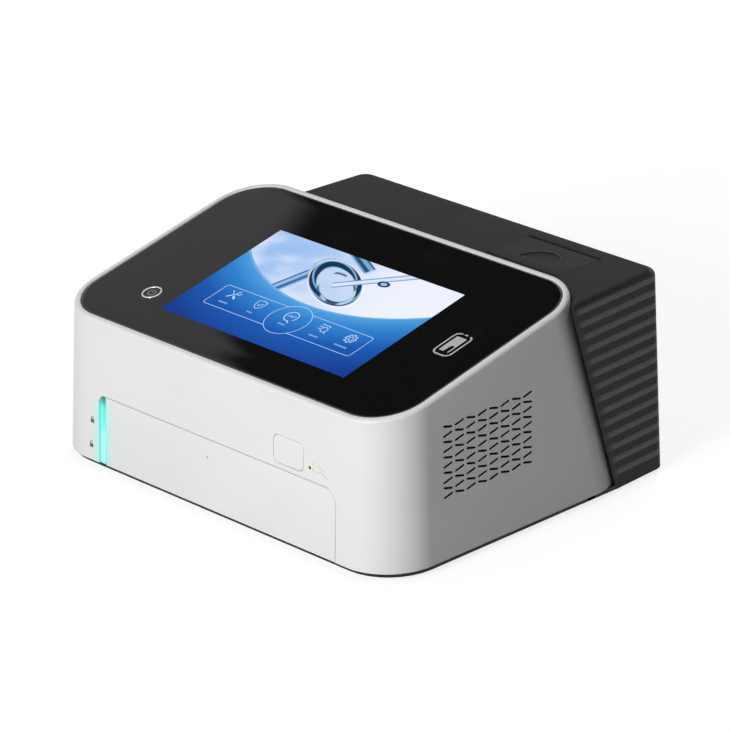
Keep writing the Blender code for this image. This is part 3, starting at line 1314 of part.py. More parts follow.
def rib_bank(side):
    # Sawtooth grooves: a long facet that faces up and out, closed by a short return.
    bank = []
    for rib in range(RIB_COUNT):
        top = RIB_TOP - rib * RIB_PITCH
        low = top - RIB_HEIGHT
        back = top + RIB_RETURN
        profile = [(-RIB_DEPTH, low), (0, low), (RIB_DEPTH, top), (0, back), (-RIB_DEPTH, back)]
        rings = []
        for y in (REAR_FRONT_HIGH, UNIT_DEPTH):
            points = []
            for depth, z in profile:
                lift_share = (z - FOOT_HEIGHT) / (REAR_TOP - REAR_FILLET - FOOT_HEIGHT)
                points.append((rear_side(side, y, lift_share) - side * depth, y, z))
            rings.append(points)
        bank.append(loft(rings))
    return gathered(bank)


# Printer


HINGE_Y = LID_FRONT + LID_LENGTH
HINGE_Z = REAR_TOP - HINGE_ROUND
TROUGH_CENTRE = (LID_FRONT + ROLL_BACK, REAR_TOP - TROUGH_DROP)
PLATEN_CENTRE = (LID_FRONT + PLATEN_BACK, REAR_TOP - PLATEN_DROP)


def make_printer(root):
    bay_half = LID_HALF + GAP
    make_bay(root, bay_half)
    axis = add_empty("cover_axis", root, (LID_CENTRE_X, HINGE_Y, HINGE_Z))
    make_cover(axis)
    pin_half = bay_half + BAY_WALL - GAP
    pin = turned([(HINGE_PIN, -pin_half), (HINGE_PIN, pin_half)], "X", 12)
    add_piece("cover_pin", pin, axis, "polished_steel")

    roll_z = TROUGH_CENTRE[1] - (TROUGH_RADIUS - ROLL_RADIUS) + GAP
    half = ROLL_WIDTH / 2
    profile = [(ROLL_RADIUS, -half), (ROLL_RADIUS, half), (ROLL_CORE, half), (ROLL_CORE, -half)]
    roll = turned(profile, "X", FINE_STEPS, bored=True)
    add_piece("paper_roll", roll, root, "paper", at=(LID_CENTRE_X, TROUGH_CENTRE[0], roll_z))

    x = around(LID_CENTRE_X, PRINT_HEAD_HALF)
    head_top = REAR_TOP - PRINT_HEAD_DROP
    head_z = (REAR_TOP - BAY_FRONT_DROP + GAP, head_top)
    head_y = (LID_FRONT, LID_FRONT + PRINT_HEAD_DEPTH)
    add_piece("print_head", block(x, head_y, head_z), root, "aluminium")
    back = LID_FRONT + TEAR_DEPTH
    outline = [(x[1], back), (x[0], back)]
    for tooth in range(TEAR_TEETH + 1):
        place = x[0] + (x[1] - x[0]) * tooth / TEAR_TEETH
        outline.append((place, LID_FRONT + TEAR_TOOTH))
        if tooth < TEAR_TEETH:
            outline.append((place + (x[1] - x[0]) / TEAR_TEETH / 2, LID_FRONT))
    low = head_top + GAP
    add_piece("tear_bar", prism(outline, low, low + TEAR_THICKNESS), root, "brushed_steel")


def make_bay(root, bay_half):
    top = REAR_TOP - REAR_WALL - GAP
    bottom = REAR_TOP - BAY_DEPTH
    front = LID_FRONT
    back = LID_FRONT + BAY_LENGTH
    outer = [
        (front, bottom + BAY_CHAMFER),
        (front + BAY_CHAMFER, bottom),
        (back - BAY_BACK_CHAMFER, bottom),
        (back, bottom + BAY_BACK_CHAMFER),
        (back, top),
        (front, top),
    ]
    half = bay_half + BAY_WALL
    shape = prism(outer, LID_CENTRE_X - half, LID_CENTRE_X + half, "X")
    bay = add_piece("printer_bay", shape, root, "black_nylon")
    trough_z = TROUGH_CENTRE[1]
    sill = REAR_TOP - BAY_FRONT_DROP
    pocket = [
        (front - OVERRUN, sill),
        (front + BAY_WALL, sill),
        (front + BAY_WALL, trough_z + BAY_BACK_CHAMFER),
        *arc(TROUGH_CENTRE, TROUGH_RADIUS, 180, 360, 12),
        (back - BAY_WALL, trough_z + BAY_BACK_CHAMFER),
        (back - BAY_WALL, top + OVERRUN),
        (front - OVERRUN, top + OVERRUN),
    ]
    cut(bay, prism(pocket, LID_CENTRE_X - bay_half, LID_CENTRE_X + bay_half, "X"), root)
    bore = circle(HINGE_PIN + GAP, 12, (HINGE_Y, HINGE_Z))
    cut(bay, prism(bore, LID_CENTRE_X - half - OVERRUN, LID_CENTRE_X + half + OVERRUN, "X"), root)


def recess_outline(grow):
    # A D: straight at the front, half an ellipse at the back.
    points = []
    for step in range(RECESS_STEPS + 1):
        angle = math.pi * step / RECESS_STEPS
        points.append((
            RECESS_SHIFT + (RECESS_HALF + grow) * math.cos(angle),
            RECESS_BACK - LID_LENGTH - grow + (RECESS_LENGTH + 2 * grow) * math.sin(angle),
        ))
    return points


def make_cover(axis):
    top = HINGE_ROUND
    under = top - LID_THICKNESS
    front = -LID_LENGTH
    end_angle = math.degrees(math.asin(under / HINGE_ROUND))
    profile = [
        (front, under),
        *arc((0, 0), HINGE_ROUND, end_angle, 90, 5),
        (front + LID_CHAMFER, top),
        (front, top - LID_CHAMFER),
    ]
    cover = add_piece("printer_cover", prism(profile, -LID_HALF, LID_HALF, "X"), axis, "charcoal_abs")
    barrel_half = LID_HALF - HINGE_BARREL_MARGIN
    weld(cover, turned([(HINGE_BARREL, -barrel_half), (HINGE_BARREL, barrel_half)], "X", 16), axis)
    floor = top - RECESS_DEPTH
    bowl = [
        [(x, y, floor - RECESS_WALL) for x, y in recess_outline(RECESS_WALL - RECESS_DRAFT)],
        [(x, y, under + WELD) for x, y in recess_outline(RECESS_WALL)],
    ]
    weld(cover, loft(bowl), axis)
    well = [
        [(x, y, floor) for x, y in recess_outline(-RECESS_DRAFT)],
        [(x, y, top + WELD) for x, y in recess_outline(0)],
    ]
    cut(cover, loft(well), axis)
    roller_y = PLATEN_CENTRE[0] - HINGE_Y
    roller_z = PLATEN_CENTRE[1] - HINGE_Z
    ears = []
    for side in (-1, 1):
        outer = side * (LID_HALF - EAR_INSET)
        x = sorted((outer, outer - side * EAR_THICKNESS))
        outline = [
            (roller_y - EAR_HALF, roller_z - EAR_BELOW),
            (roller_y + EAR_HALF, roller_z - EAR_BELOW),
            (roller_y + EAR_HALF + EAR_BELOW, under + WELD),
            (roller_y - EAR_HALF, under + WELD),
        ]
        ears.append(prism(outline, x[0], x[1], "X"))
    weld(cover, gathered(ears), axis)
    bores = []
    for centre in ((0, 0), (roller_y, roller_z)):
        outline = circle(HINGE_PIN + GAP, 12, centre)
        bores.append(prism(outline, -LID_HALF - OVERRUN, LID_HALF + OVERRUN, "X"))
    cut(cover, gathered(bores), axis)

    roller = turned(
        [
            (HINGE_PIN, -LID_HALF + GAP),
            (HINGE_PIN, -PLATEN_HALF),
            (PLATEN_RADIUS, -PLATEN_HALF),
            (PLATEN_RADIUS, PLATEN_HALF - 2 * PLATEN_GEAR_WIDTH),
            (HINGE_PIN, PLATEN_HALF - 2 * PLATEN_GEAR_WIDTH),
            (HINGE_PIN, LID_HALF - GAP),
        ],
        "X",
    )
    hub = add_empty("platen_axis", axis, (0, roller_y, roller_z))
    platen = add_piece("platen_roller", roller, hub, "rubber")
    teeth = []
    for step in range(4 * PLATEN_GEAR_TEETH):
        angle = math.tau * step / (4 * PLATEN_GEAR_TEETH)
        radius = PLATEN_GEAR_RADIUS if step % 4 < 2 else PLATEN_GEAR_RADIUS - PLATEN_GEAR_TOOTH
        teeth.append((radius * math.cos(angle), radius * math.sin(angle)))
    gear_x = PLATEN_HALF - PLATEN_GEAR_WIDTH
    weld(platen, prism(teeth, gear_x, gear_x + PLATEN_GEAR_WIDTH, "X"), hub)


# Electronics and rear sockets


def board_top():
    return BASE_TOP + BOARD_LIFT + BOARD_THICKNESS


def make_electronics(root):
    low = BASE_TOP + BOARD_LIFT
    add_piece("main_board", block(BOARD_X, BOARD_Y, (low, board_top())), root, "circuit_green")
    seat = board_top() + GAP
    centre_x, centre_y = SINK_CENTRE
    profile = [(centre_x - SINK_HALF, seat), (centre_x + SINK_HALF, seat)]
    gap = (2 * SINK_HALF - SINK_FINS * SINK_FIN) / (SINK_FINS - 1)
    for fin in range(SINK_FINS):
        right = centre_x + SINK_HALF - fin * (SINK_FIN + gap)
        profile.append((right, seat + SINK_HEIGHT))
        profile.append((right - SINK_FIN, seat + SINK_HEIGHT))
        if fin < SINK_FINS - 1:
            profile.append((right - SINK_FIN, seat + SINK_BASE))
            profile.append((right - SINK_FIN - gap, seat + SINK_BASE))
    fins = prism(profile, *around(centre_y, SINK_HALF), "Y")
    add_piece("heat_sink", fins, root, "aluminium")

    usb = socket_block("usb_ports", USB_CENTRE_X, USB_SIZE, root)
    mouths = []
    for rise in USB_MOUTH_RISES:
        mouths.append(
            block(
                around(USB_CENTRE_X, USB_MOUTH[0] / 2),
                (SOCKET_BACK - USB_MOUTH_DEPTH, SOCKET_BACK + OVERRUN),
                (seat + rise, seat + rise + USB_MOUTH[1]),
            )
        )
    cut(usb, gathered(mouths), root)
    lan = socket_block("network_port", LAN_CENTRE_X, LAN_SIZE, root)
    mouth = block(
        around(LAN_CENTRE_X, LAN_MOUTH[0] / 2),
        (SOCKET_BACK - LAN_MOUTH_DEPTH, SOCKET_BACK + OVERRUN),
        (seat + LAN_MOUTH_RISE, seat + LAN_MOUTH_RISE + LAN_MOUTH[1]),
    )
    cut(lan, mouth, root)
    serial = socket_block("serial_port", SERIAL_CENTRE_X, SERIAL_SIZE, root)
    middle = seat + SERIAL_SIZE[2] / 2
    moat = []
    for grow in (SERIAL_SHELL_WALL, -SERIAL_SHELL_WALL):
        half_x = SERIAL_SHELL[0] / 2 + grow
        half_z = SERIAL_SHELL[1] / 2 + grow
        moat.append([
            (SERIAL_CENTRE_X - half_x + SERIAL_SLOPE, middle - half_z),
            (SERIAL_CENTRE_X + half_x - SERIAL_SLOPE, middle - half_z),
            (SERIAL_CENTRE_X + half_x, middle + half_z),
            (SERIAL_CENTRE_X - half_x, middle + half_z),
        ])
    outer, inner = moat
    depth = (SOCKET_BACK - SERIAL_SHELL_DEPTH, SOCKET_BACK + OVERRUN)
    trench = [
        [(x, depth[0], z) for x, z in outer],
        [(x, depth[1], z) for x, z in outer],
        [(x, depth[1], z) for x, z in inner],
        [(x, depth[0], z) for x, z in inner],
    ]
    cut(serial, loft(trench, closed=True), root)


def socket_block(name, centre_x, size, root):
    seat = board_top() + GAP
    depth = (SOCKET_BACK - size[1], SOCKET_BACK)
    body = block(around(centre_x, size[0] / 2), depth, (seat, seat + size[2]))
    return add_piece(name, body, root, "brushed_steel")


def inlet_outline(grow):
    half_x = INLET_SNOUT[0] / 2 + grow
    half_z = INLET_SNOUT[1] / 2 + grow
    centre_x, centre_z = INLET_CENTRE
    return [
        (centre_x - half_x, centre_z - half_z),
        (centre_x + half_x, centre_z - half_z),
        (centre_x + half_x, centre_z + half_z - INLET_CHAMFER),
        (centre_x + half_x - INLET_CHAMFER, centre_z + half_z),
        (centre_x - half_x + INLET_CHAMFER, centre_z + half_z),
        (centre_x - half_x, centre_z + half_z - INLET_CHAMFER),
    ]


def make_inlet(root):
    inner_wall = UNIT_DEPTH - REAR_WALL - REAR_BACK_DRAFT
    front = SOCKET_BACK - INLET_DEPTH
    inlet = add_piece("power_inlet", prism(inlet_outline(0), front, SOCKET_BACK, "Y"), root, "black_nylon")
    flange = block(
        around(INLET_CENTRE[0], INLET_FLANGE[0] / 2),
        (inner_wall - GAP - INLET_FLANGE_THICKNESS, inner_wall - GAP),
        around(INLET_CENTRE[1], INLET_FLANGE[1] / 2),
    )
    weld(inlet, flange, root)
    mouth_start = SOCKET_BACK - INLET_MOUTH_DEPTH
    cut(inlet, prism(inlet_outline(-INLET_WALL), mouth_start, SOCKET_BACK + OVERRUN, "Y"), root)
    pins = []
    for shift, lift in ((-INLET_PIN_SPREAD, -1), (0, 1), (INLET_PIN_SPREAD, -1)):
        x = around(INLET_CENTRE[0] + shift, INLET_PIN[0] / 2)
        z = around(INLET_CENTRE[1] + lift * INLET_PIN_OFFSET, INLET_PIN[1] / 2)
        pins.append(block(x, (mouth_start - WELD, mouth_start + INLET_PIN_LENGTH), z))
    weld(inlet, gathered(pins), root)


def make_rocker(root):
    centre_x, centre_z = ROCKER_CENTRE
    inner_wall = UNIT_DEPTH - REAR_WALL - REAR_BACK_DRAFT
    half_x = ROCKER_FRAME[0] / 2
    half_z = ROCKER_FRAME[1] / 2
    start = SOCKET_BACK - ROCKER_FRAME_DEPTH
    tube = []
    for wall, y in (
        (0, SOCKET_BACK),
        (0, inner_wall - GAP),
        (-ROCKER_FLANGE, inner_wall - GAP),
        (-ROCKER_FLANGE, inner_wall - GAP - ROCKER_FLANGE_THICKNESS),
        (0, inner_wall - GAP - ROCKER_FLANGE_THICKNESS),
        (0, start),
        (ROCKER_WALL, start),
        (ROCKER_WALL, SOCKET_BACK),
    ):
        tube.append([
            (centre_x - half_x + wall, y, centre_z - half_z + wall),
            (centre_x + half_x - wall, y, centre_z - half_z + wall),
            (centre_x + half_x - wall, y, centre_z + half_z - wall),
            (centre_x - half_x + wall, y, centre_z + half_z - wall),
        ])
    frame = add_piece("switch_frame", loft(tube, closed=True), root, "black_nylon")
    pivot_y = SOCKET_BACK - ROCKER_PIVOT_DEPTH
    axis = add_empty("rocker_axis", root, (centre_x, pivot_y, centre_z))
    bore = prism(circle(ROCKER_PIN + GAP, 12), -half_x - OVERRUN, half_x + OVERRUN, "X")
    cut(frame, bore, axis)
    reach = half_z - ROCKER_WALL - ROCKER_END_GAP
    width = half_x - ROCKER_WALL - GAP
    profile = [
        (-ROCKER_THICKNESS / 2, -reach + ROCKER_CROWN),
        (-ROCKER_THICKNESS / 2, reach - ROCKER_CROWN),
        (ROCKER_THICKNESS / 2 + ROCKER_CROWN, reach),
        (ROCKER_THICKNESS / 2, 0),
        (ROCKER_THICKNESS / 2 + ROCKER_CROWN, -reach),
    ]
    rocker = add_piece(
        "power_rocker", prism(profile, -width, width, "X"), axis, "black_nylon", turn=(ROCKER_TILT, 0, 0)
    )
    pin_half = half_x - GAP
    weld(rocker, turned([(ROCKER_PIN, -pin_half), (ROCKER_PIN, pin_half)], "X", 12), axis)


def make_supply(root):
    low = BASE_TOP + SUPPLY_LIFT
    top = low + BOARD_THICKNESS
    supply = add_piece("power_supply", block(SUPPLY_X, SUPPLY_Y, (low, top)), root, "circuit_green")
    middle_y = (SUPPLY_Y[0] + SUPPLY_Y[1]) / 2
    coil_x = SUPPLY_X[0] + COIL_SIZE[0]
    coil_y = around(middle_y, COIL_SIZE[1] / 2)
    coil = block(around(coil_x, COIL_SIZE[0] / 2), coil_y, (top - WELD, top + COIL_SIZE[2]))
    tank_x = SUPPLY_X[1] - 2 * CAPACITOR_RADIUS
    tank = prism(
        circle(CAPACITOR_RADIUS, 16, (tank_x, middle_y)), top - WELD, top + CAPACITOR_HEIGHT
    )
    plate_x = SUPPLY_X[0] + FIN_PLATE[0]
    plate_y = around(middle_y, FIN_PLATE[1] / 2)
    plate = block((plate_x, plate_x + FIN_PLATE[0]), plate_y, (top - WELD, top + FIN_PLATE[2]))
    weld(supply, gathered([coil, tank, plate]), root)


def main():
    clear_scene()
    root = add_empty("unit", at=(0, -UNIT_DEPTH / 2, 0))
    panel = add_empty("glass_plane", root, (0, GLASS_FRONT_Y, GLASS_FRONT_Z), (PANEL_TILT, 0, 0))
    face = add_empty("front_plane", root, (0, 0, HOOD_BOTTOM), (-FRONT_DRAFT, 0, 0))
    make_hood(root, face)
    make_glass(panel)
    make_screen(panel)
    make_tap_reader(panel)
    make_power_button(panel)
    make_key(face)
    make_light_strip(face)
    make_drawer(root)
    make_base(root)
    make_drive(root)
    make_fan(root)
    make_rear_housing(root)
    make_printer(root)
    make_electronics(root)
    make_inlet(root)
    make_rocker(root)
    make_supply(root)


main()
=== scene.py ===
# Looks for a benchtop immunoassay analyzer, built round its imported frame. Metres, +Z up, front faces -Y.
import json
import math
from functools import partialmethod

import bmesh
import bpy
from mathutils import Matrix, Vector
from mathutils.bvhtree import BVHTree


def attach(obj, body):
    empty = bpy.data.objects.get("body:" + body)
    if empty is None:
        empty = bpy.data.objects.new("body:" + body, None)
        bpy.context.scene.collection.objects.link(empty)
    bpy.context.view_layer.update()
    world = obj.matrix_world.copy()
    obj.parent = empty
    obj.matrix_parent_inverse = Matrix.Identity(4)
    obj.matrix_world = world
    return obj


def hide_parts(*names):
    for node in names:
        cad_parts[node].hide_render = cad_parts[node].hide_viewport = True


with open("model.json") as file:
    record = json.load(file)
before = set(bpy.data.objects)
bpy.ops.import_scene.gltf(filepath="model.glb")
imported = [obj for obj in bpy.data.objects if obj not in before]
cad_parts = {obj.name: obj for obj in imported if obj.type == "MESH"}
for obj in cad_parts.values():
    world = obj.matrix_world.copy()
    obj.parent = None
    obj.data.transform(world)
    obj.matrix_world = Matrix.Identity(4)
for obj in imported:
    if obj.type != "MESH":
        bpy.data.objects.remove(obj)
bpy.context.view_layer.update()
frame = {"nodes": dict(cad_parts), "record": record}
nodes = frame["nodes"]
mm = 0.001
print("frame loaded:", len(nodes), "nodes")


def inMetres(sizes):
    # Turns a piece's sizes from millimetres, and pairs of them too.
    def scaled(value):
        return tuple(scaled(part) for part in value) if isinstance(value, tuple) else value * mm
    return {key: scaled(value) for key, value in sizes.items()}


for name in ("Cube", "Light", "Camera"):
    if name in bpy.data.objects:
        bpy.data.objects.remove(bpy.data.objects[name], do_unlink=True)


# camera at the photograph's angle

view = {"azimuth": 47.673, "elevation": 22.479, "roll": 2.124, "focal": 4312 / 730 * 36,
        "offset": (96.6 * mm, 94.9 * mm, 2726 * mm), "origin": (0, -125.25 * mm, 2.5 * mm)}


def placeCamera():
    azimuth, elevation, roll = (math.radians(view[k]) for k in ("azimuth", "elevation", "roll"))
    back = Vector((math.sin(azimuth) * math.cos(elevation), -math.cos(azimuth) * math.cos(elevation),
                   math.sin(elevation)))
    right = Vector((math.cos(azimuth), math.sin(azimuth), 0))
    up = back.cross(right)
    level = Matrix((right, up, back)).transposed()
    turn = level @ Matrix.Rotation(-roll, 3, "Z")
    lens = bpy.data.cameras.new("camera")
    lens.sensor_width = 36
    lens.lens = view["focal"]
    lens.clip_end = 20
    camera = bpy.data.objects.new("camera", lens)
    camera.matrix_world = Matrix.Translation(turn @ Vector(view["offset"]) + Vector(view["origin"])) @ turn.to_4x4()
    bpy.context.scene.collection.objects.link(camera)
    bpy.context.scene.camera = camera


placeCamera()


# shader maths: a socket of a material's tree, with plain arithmetic

class Value:
    def __init__(self, tree, out):
        self.tree = tree
        self.out = out

    def node(self, kind, settings=None, inputs=None, output=0):
        made = self.tree.nodes.new(kind)
        for key, setting in (settings or {}).items():
            if key == "stops":
                ramp = made.color_ramp.elements
                while len(ramp) < len(setting):
                    ramp.new(1)
                for stop, (place, colour) in zip(ramp, setting):
                    stop.position = place
                    stop.color = (*colour, 1) if len(colour) == 3 else colour
            else:
                setattr(made, key, setting)
        for key, given in (inputs or {}).items():
            if isinstance(given, Value):
                self.tree.links.new(given.out, made.inputs[key])
            else:
                made.inputs[key].default_value = given
        return Value(self.tree, made.outputs[output])

    def maths(self, operation, *others):
        settings = {"operation": operation}
        return self.node("ShaderNodeMath", settings, {n: other for n, other in enumerate((self, *others))})

    def __rsub__(self, other):
        return self.node("ShaderNodeMath", {"operation": "SUBTRACT"}, {0: other, 1: self})

    def limit(self, low, high):
        return self.most(low).least(high)

    def step(self, start, end):  # 0 before start, 1 after end, soft between
        return self.node("ShaderNodeMapRange", {"interpolation_type": "SMOOTHSTEP"},
                         {"Value": self, "From Min": start, "From Max": end})

    def blend(self, low, high):  # a colour between two, by this value
        return self.node("ShaderNodeMix", {"data_type": "RGBA"}, {"Factor": self, 6: low, 7: high}, 2)

    def spread(self, low, high):  # a number between two, by this value from 0 to 1
        return self * (high - low) + low

    def parts(self):
        split = self.tree.nodes.new("ShaderNodeSeparateXYZ")
        self.tree.links.new(self.out, split.inputs[0])
        return [Value(self.tree, out) for out in split.outputs]

    def length(self, other):
        return (self * self + other * other) ** 0.5

    def ramp(self, *stops):
        return self.node("ShaderNodeValToRGB", {"stops": stops}, {0: self})


arithmetic = {"__add__": "ADD", "__radd__": "ADD", "__sub__": "SUBTRACT", "__mul__": "MULTIPLY",
              "__rmul__": "MULTIPLY", "__truediv__": "DIVIDE", "__pow__": "POWER", "__lt__": "LESS_THAN",
              "__gt__": "GREATER_THAN", "__abs__": "ABSOLUTE", "least": "MINIMUM", "most": "MAXIMUM"}
for word, operation in arithmetic.items():
    setattr(Value, word, partialmethod(Value.maths, operation))


def rgb(red, green, blue):
    return (red, green, blue, 1)


def grey(tone, tint=1.0):
    return rgb(tone, tone, tone * tint)


def screen(red, green, blue):
    # A colour as a picture file writes it, turned to shader light.
    return rgb(*(((c / 255 + 0.055) / 1.055) ** 2.4 if c > 10 else c / 255 / 12.92 for c in (red, green, blue)))


class Finish:
    # A material with its shader and the places that its patterns read.
    def __init__(self, name, colour, roughness, **sockets):
        self.material = bpy.data.materials.new(name)
        self.material.use_nodes = True
        self.material.diffuse_color = rgb(*colour)
        tree = self.material.node_tree
        self.shader = tree.nodes["Principled BSDF"]
        self.tree = tree
        place = tree.nodes.new("ShaderNodeTexCoord")
        self.place = Value(tree, place.outputs["Object"])
        self.uv = Value(tree, place.outputs["UV"])
        self.set("Base Color", rgb(*colour))
        self.set("Roughness", roughness)
        for socket, value in sockets.items():
            self.set(socket.replace("_", " "), value)

    def set(self, socket, value):
        if isinstance(value, Value):
            self.tree.links.new(value.out, self.shader.inputs[socket])
        else:
            self.shader.inputs[socket].default_value = value

    def noise(self, scale, detail=3, rough=0.5, stretch=None):
        place = self.place
        if stretch:
            place = place.node("ShaderNodeMapping", None, {"Vector": place, "Scale": stretch})
        return place.node("ShaderNodeTexNoise", None,
                          {"Vector": place, "Scale": scale, "Detail": detail, "Roughness": rough})

    def cells(self, scale):
        return self.place.node("ShaderNodeTexVoronoi", None, {"Vector": self.place, "Scale": scale})

    def relief(self, height, distance, strength, edge=None):
        inputs = {"Height": height, "Distance": distance, "Strength": strength}
        if edge:
            inputs["Normal"] = self.place.node("ShaderNodeBevel", {"samples": 6}, {"Radius": edge})
        self.set("Normal", self.place.node("ShaderNodeBump", None, inputs))

    def soften(self, edge):
        self.set("Normal", self.place.node("ShaderNodeBevel", {"samples": 6}, {"Radius": edge}))

    def mottle(self, scale, detail, low, high):
        return self.noise(scale, detail).step(0.3, 0.7).blend(low, high)


paintedLightSizes = inMetres({"middle": -107.5, "half": 3.45, "low": 5, "high": 46, "reach": 12, "front": -112,
                       "top": (56, 42), "lamp": (90.9, 61.2), "lampReach": 4.6, "slotX": 150,
                       "slotY": (-74, 12), "slotZ": (38, 97)})


def glossyWhite():
    # Moulded white, with painted light where the lit strip and the key's lamp shine on it and painted shade inside
    # the air slots.
    look = Finish("whiteAbs", (0.80, 0.80, 0.80), 0.36, IOR=1.5, Specular_IOR_Level=0.18)
    s = paintedLightSizes
    x, y, z = look.place.parts()
    aside = (abs(x - s["middle"]) - s["half"]).most(0)
    beyond = (s["low"] - z).most(z - s["high"]).most(0)
    onFace = y < s["front"]
    # painted light: a teal spill from the lit strip, fading with distance on the front face
    spill = (1 - (aside.length(beyond) / s["reach"]).least(1)) ** 2 * onFace * z.step(*s["top"])
    # painted light: a yellow-green glow round the key's lamp
    lampOff = (x - s["lamp"][0]).length(z - s["lamp"][1]) / s["lampReach"]
    halo = (1 - lampOff.least(1)) ** 2 * onFace
    plain = look.mottle(14, 4, rgb(0.787, 0.789, 0.792), rgb(0.81, 0.812, 0.815))
    painted = halo.blend(spill.blend(plain, rgb(0.5, 0.93, 0.87)), rgb(0.86, 0.9, 0.42))
    # painted shade: the walls inside the air slots are coloured near-black
    nx = abs(look.place.node("ShaderNodeNewGeometry", None, None, "True Normal").parts()[0])
    slotShade = (nx < 0.6) * (abs(x) > s["slotX"]) * (y > s["slotY"][0]) * (y < s["slotY"][1])
    slotShade = slotShade * (z > s["slotZ"][0]) * (z < s["slotZ"][1])
    look.set("Base Color", slotShade.blend(painted, grey(0.02)))
    grain = look.noise(2600, 2, 0.6)
    look.set("Roughness", look.noise(60, 3).spread(0.3, 0.44))
    look.relief(grain, 0.00002, 0.35, 0.35 * mm)
    return look.material


def sparkCharcoal(name="charcoalAbs", tone=0.024):
    look = Finish(name, (tone, tone, tone * 1.03), 0.5, IOR=1.5, Specular_IOR_Level=0.05)
    grain = look.noise(1900, 3, 0.65)
    pits = look.cells(1500)
    look.set("Base Color", look.mottle(30, 4, grey(tone * 0.9, 1.022), grey(tone * 1.12, 1.027)))
    look.set("Roughness", grain.spread(0.42, 0.6))
    look.relief(grain + pits * 0.5, 0.00006, 0.55, 0.4 * mm)
    return look.material


def mouldedNylon(name, tone, tint=1.0, edge=0.3 * mm):
    look = Finish(name, (tone, tone, tone * tint), 0.45, IOR=1.5, Specular_IOR_Level=0.25)
    flow = look.noise(90, 3, 0.5, (1, 4, 1))
    look.set("Base Color", flow.step(0.3, 0.7).blend(grey(tone * 0.95, tint), grey(tone * 1.05, tint)))
    look.set("Roughness", flow.spread(0.36, 0.56))
    look.relief(look.noise(1700, 2), 0.00003, 0.4, edge)
    return look.material


def softRubber():
    look = Finish("rubber", (0.016, 0.016, 0.017), 0.75, IOR=1.5)
    dust = look.noise(220, 4).step(0.52, 0.75)
    look.set("Base Color", (dust * 0.6).blend(grey(0.014, 1.07), grey(0.05)))
    look.set("Roughness", dust.spread(0.62, 0.85))
    look.relief(look.noise(2300, 2), 0.00005, 0.5, 0.3 * mm)
    return look.material


def brushedSheet(name, tone, rough, stretch, depth=0.00001, edge=0.2 * mm):
    look = Finish(name, (tone, tone, tone * 1.01), rough, Metallic=1.0)
    lines = look.noise(420, 3, 0.7, stretch)
    look.set("Base Color", lines.blend(grey(tone * 0.865, 1.015), grey(tone * 1.1)))
    look.set("Roughness", lines.spread(rough * 0.7, rough * 1.35))
    look.relief(lines, depth, 0.5, edge)
    return look.material


def mirrorSteel():
    look = Finish("polishedSteel", (0.74, 0.75, 0.76), 0.14, Metallic=1.0)
    look.set("Roughness", look.noise(500, 3).spread(0.09, 0.2))
    look.soften(0.15 * mm)
    return look.material


def circuitBoard():
    look = Finish("circuitGreen", (0.02, 0.16, 0.07), 0.4, IOR=1.5)
    lanes = look.place.node("ShaderNodeTexBrick", {"offset": 0.37, "squash": 0.6},
                            {"Vector": look.place, "Scale": 95, "Mortar Size": 0.05, "Mortar Smooth": 0.2}, "Fac")
    pads = look.cells(240).step(0.22, 0.16)
    copper = lanes.blend(rgb(0.015, 0.12, 0.05), rgb(0.03, 0.24, 0.1))
    look.set("Base Color", pads.blend(copper, rgb(0.6, 0.55, 0.38)))
    look.set("Metallic", pads)
    look.set("Roughness", lanes.spread(0.45, 0.3))
    look.relief(lanes + pads, 0.00004, 0.4)
    return look.material


def frostedGuide():
    # Lit from behind, brightest below the middle, with painted shade under the recess's curved top and towards both
    # long edges of its rounded face.
    look = Finish("lightGuide", (0.03, 0.12, 0.11), 0.4, IOR=1.46, Emission_Strength=1.0, Specular_IOR_Level=0.2)
    x, y, z = look.place.parts()
    # painted shade: the glow darkens towards the top, under the recess's curved top
    along = ((z - 5.9 * mm) / (46 * mm)).ramp(
        (0, (0.24, 0.78, 0.72)), (0.07, (0.43, 0.97, 0.94)), (0.42, (0.41, 0.97, 0.94)), (0.64, (0.21, 0.9, 0.8)),
        (0.85, (0.13, 0.84, 0.74)), (0.93, (0.05, 0.36, 0.34)), (1, (0.015, 0.12, 0.12)))
    # painted shade: darker teal towards both long edges, where the rounded face turns away
    rim = abs(x + 107.9 * mm).step(1.2 * mm, 3.3 * mm)
    look.set("Emission Color", (rim * 0.75).blend(along, rgb(0.14, 0.62, 0.57)))
    look.relief(look.noise(900, 2), 0.00002, 0.3, 0.2 * mm)
    return look.material


def glowingPipe():
    look = Finish("clearPipe", (0.008, 0.009, 0.004), 0.2, IOR=1.49, Emission_Strength=1.0, Specular_IOR_Level=0.3)
    x, y, z = look.place.parts()
    off = (x - 90.9 * mm).length(z - 61.3 * mm)
    look.set("Emission Color", off.step(0.75 * mm, 1.1 * mm).blend(rgb(0.004, 0.005, 0.001), rgb(0.3, 0.32, 0.05)))
    look.set("Roughness", look.noise(800, 2).spread(0.15, 0.3))
    return look.material


def thermalPaper():
    look = Finish("paper", (0.85, 0.85, 0.83), 0.85, IOR=1.45)
    fibres = look.noise(900, 4, 0.7, (1, 0.35, 1))
    x, y, z = look.place.parts()
    layers = ((y - 92.65 * mm).length(z - 111.2 * mm) * 5200).maths("SINE").step(-0.6, 0.9)
    side = (abs(x - 85.9 * mm) > 28.2 * mm) * layers
    shade = (side * 0.4 + fibres * 0.15).limit(0, 1)
    look.set("Base Color", shade.blend(rgb(0.86, 0.86, 0.84), rgb(0.6, 0.6, 0.57)))
    look.relief(fibres, 0.00003, 0.35, 0.15 * mm)
    return look.material


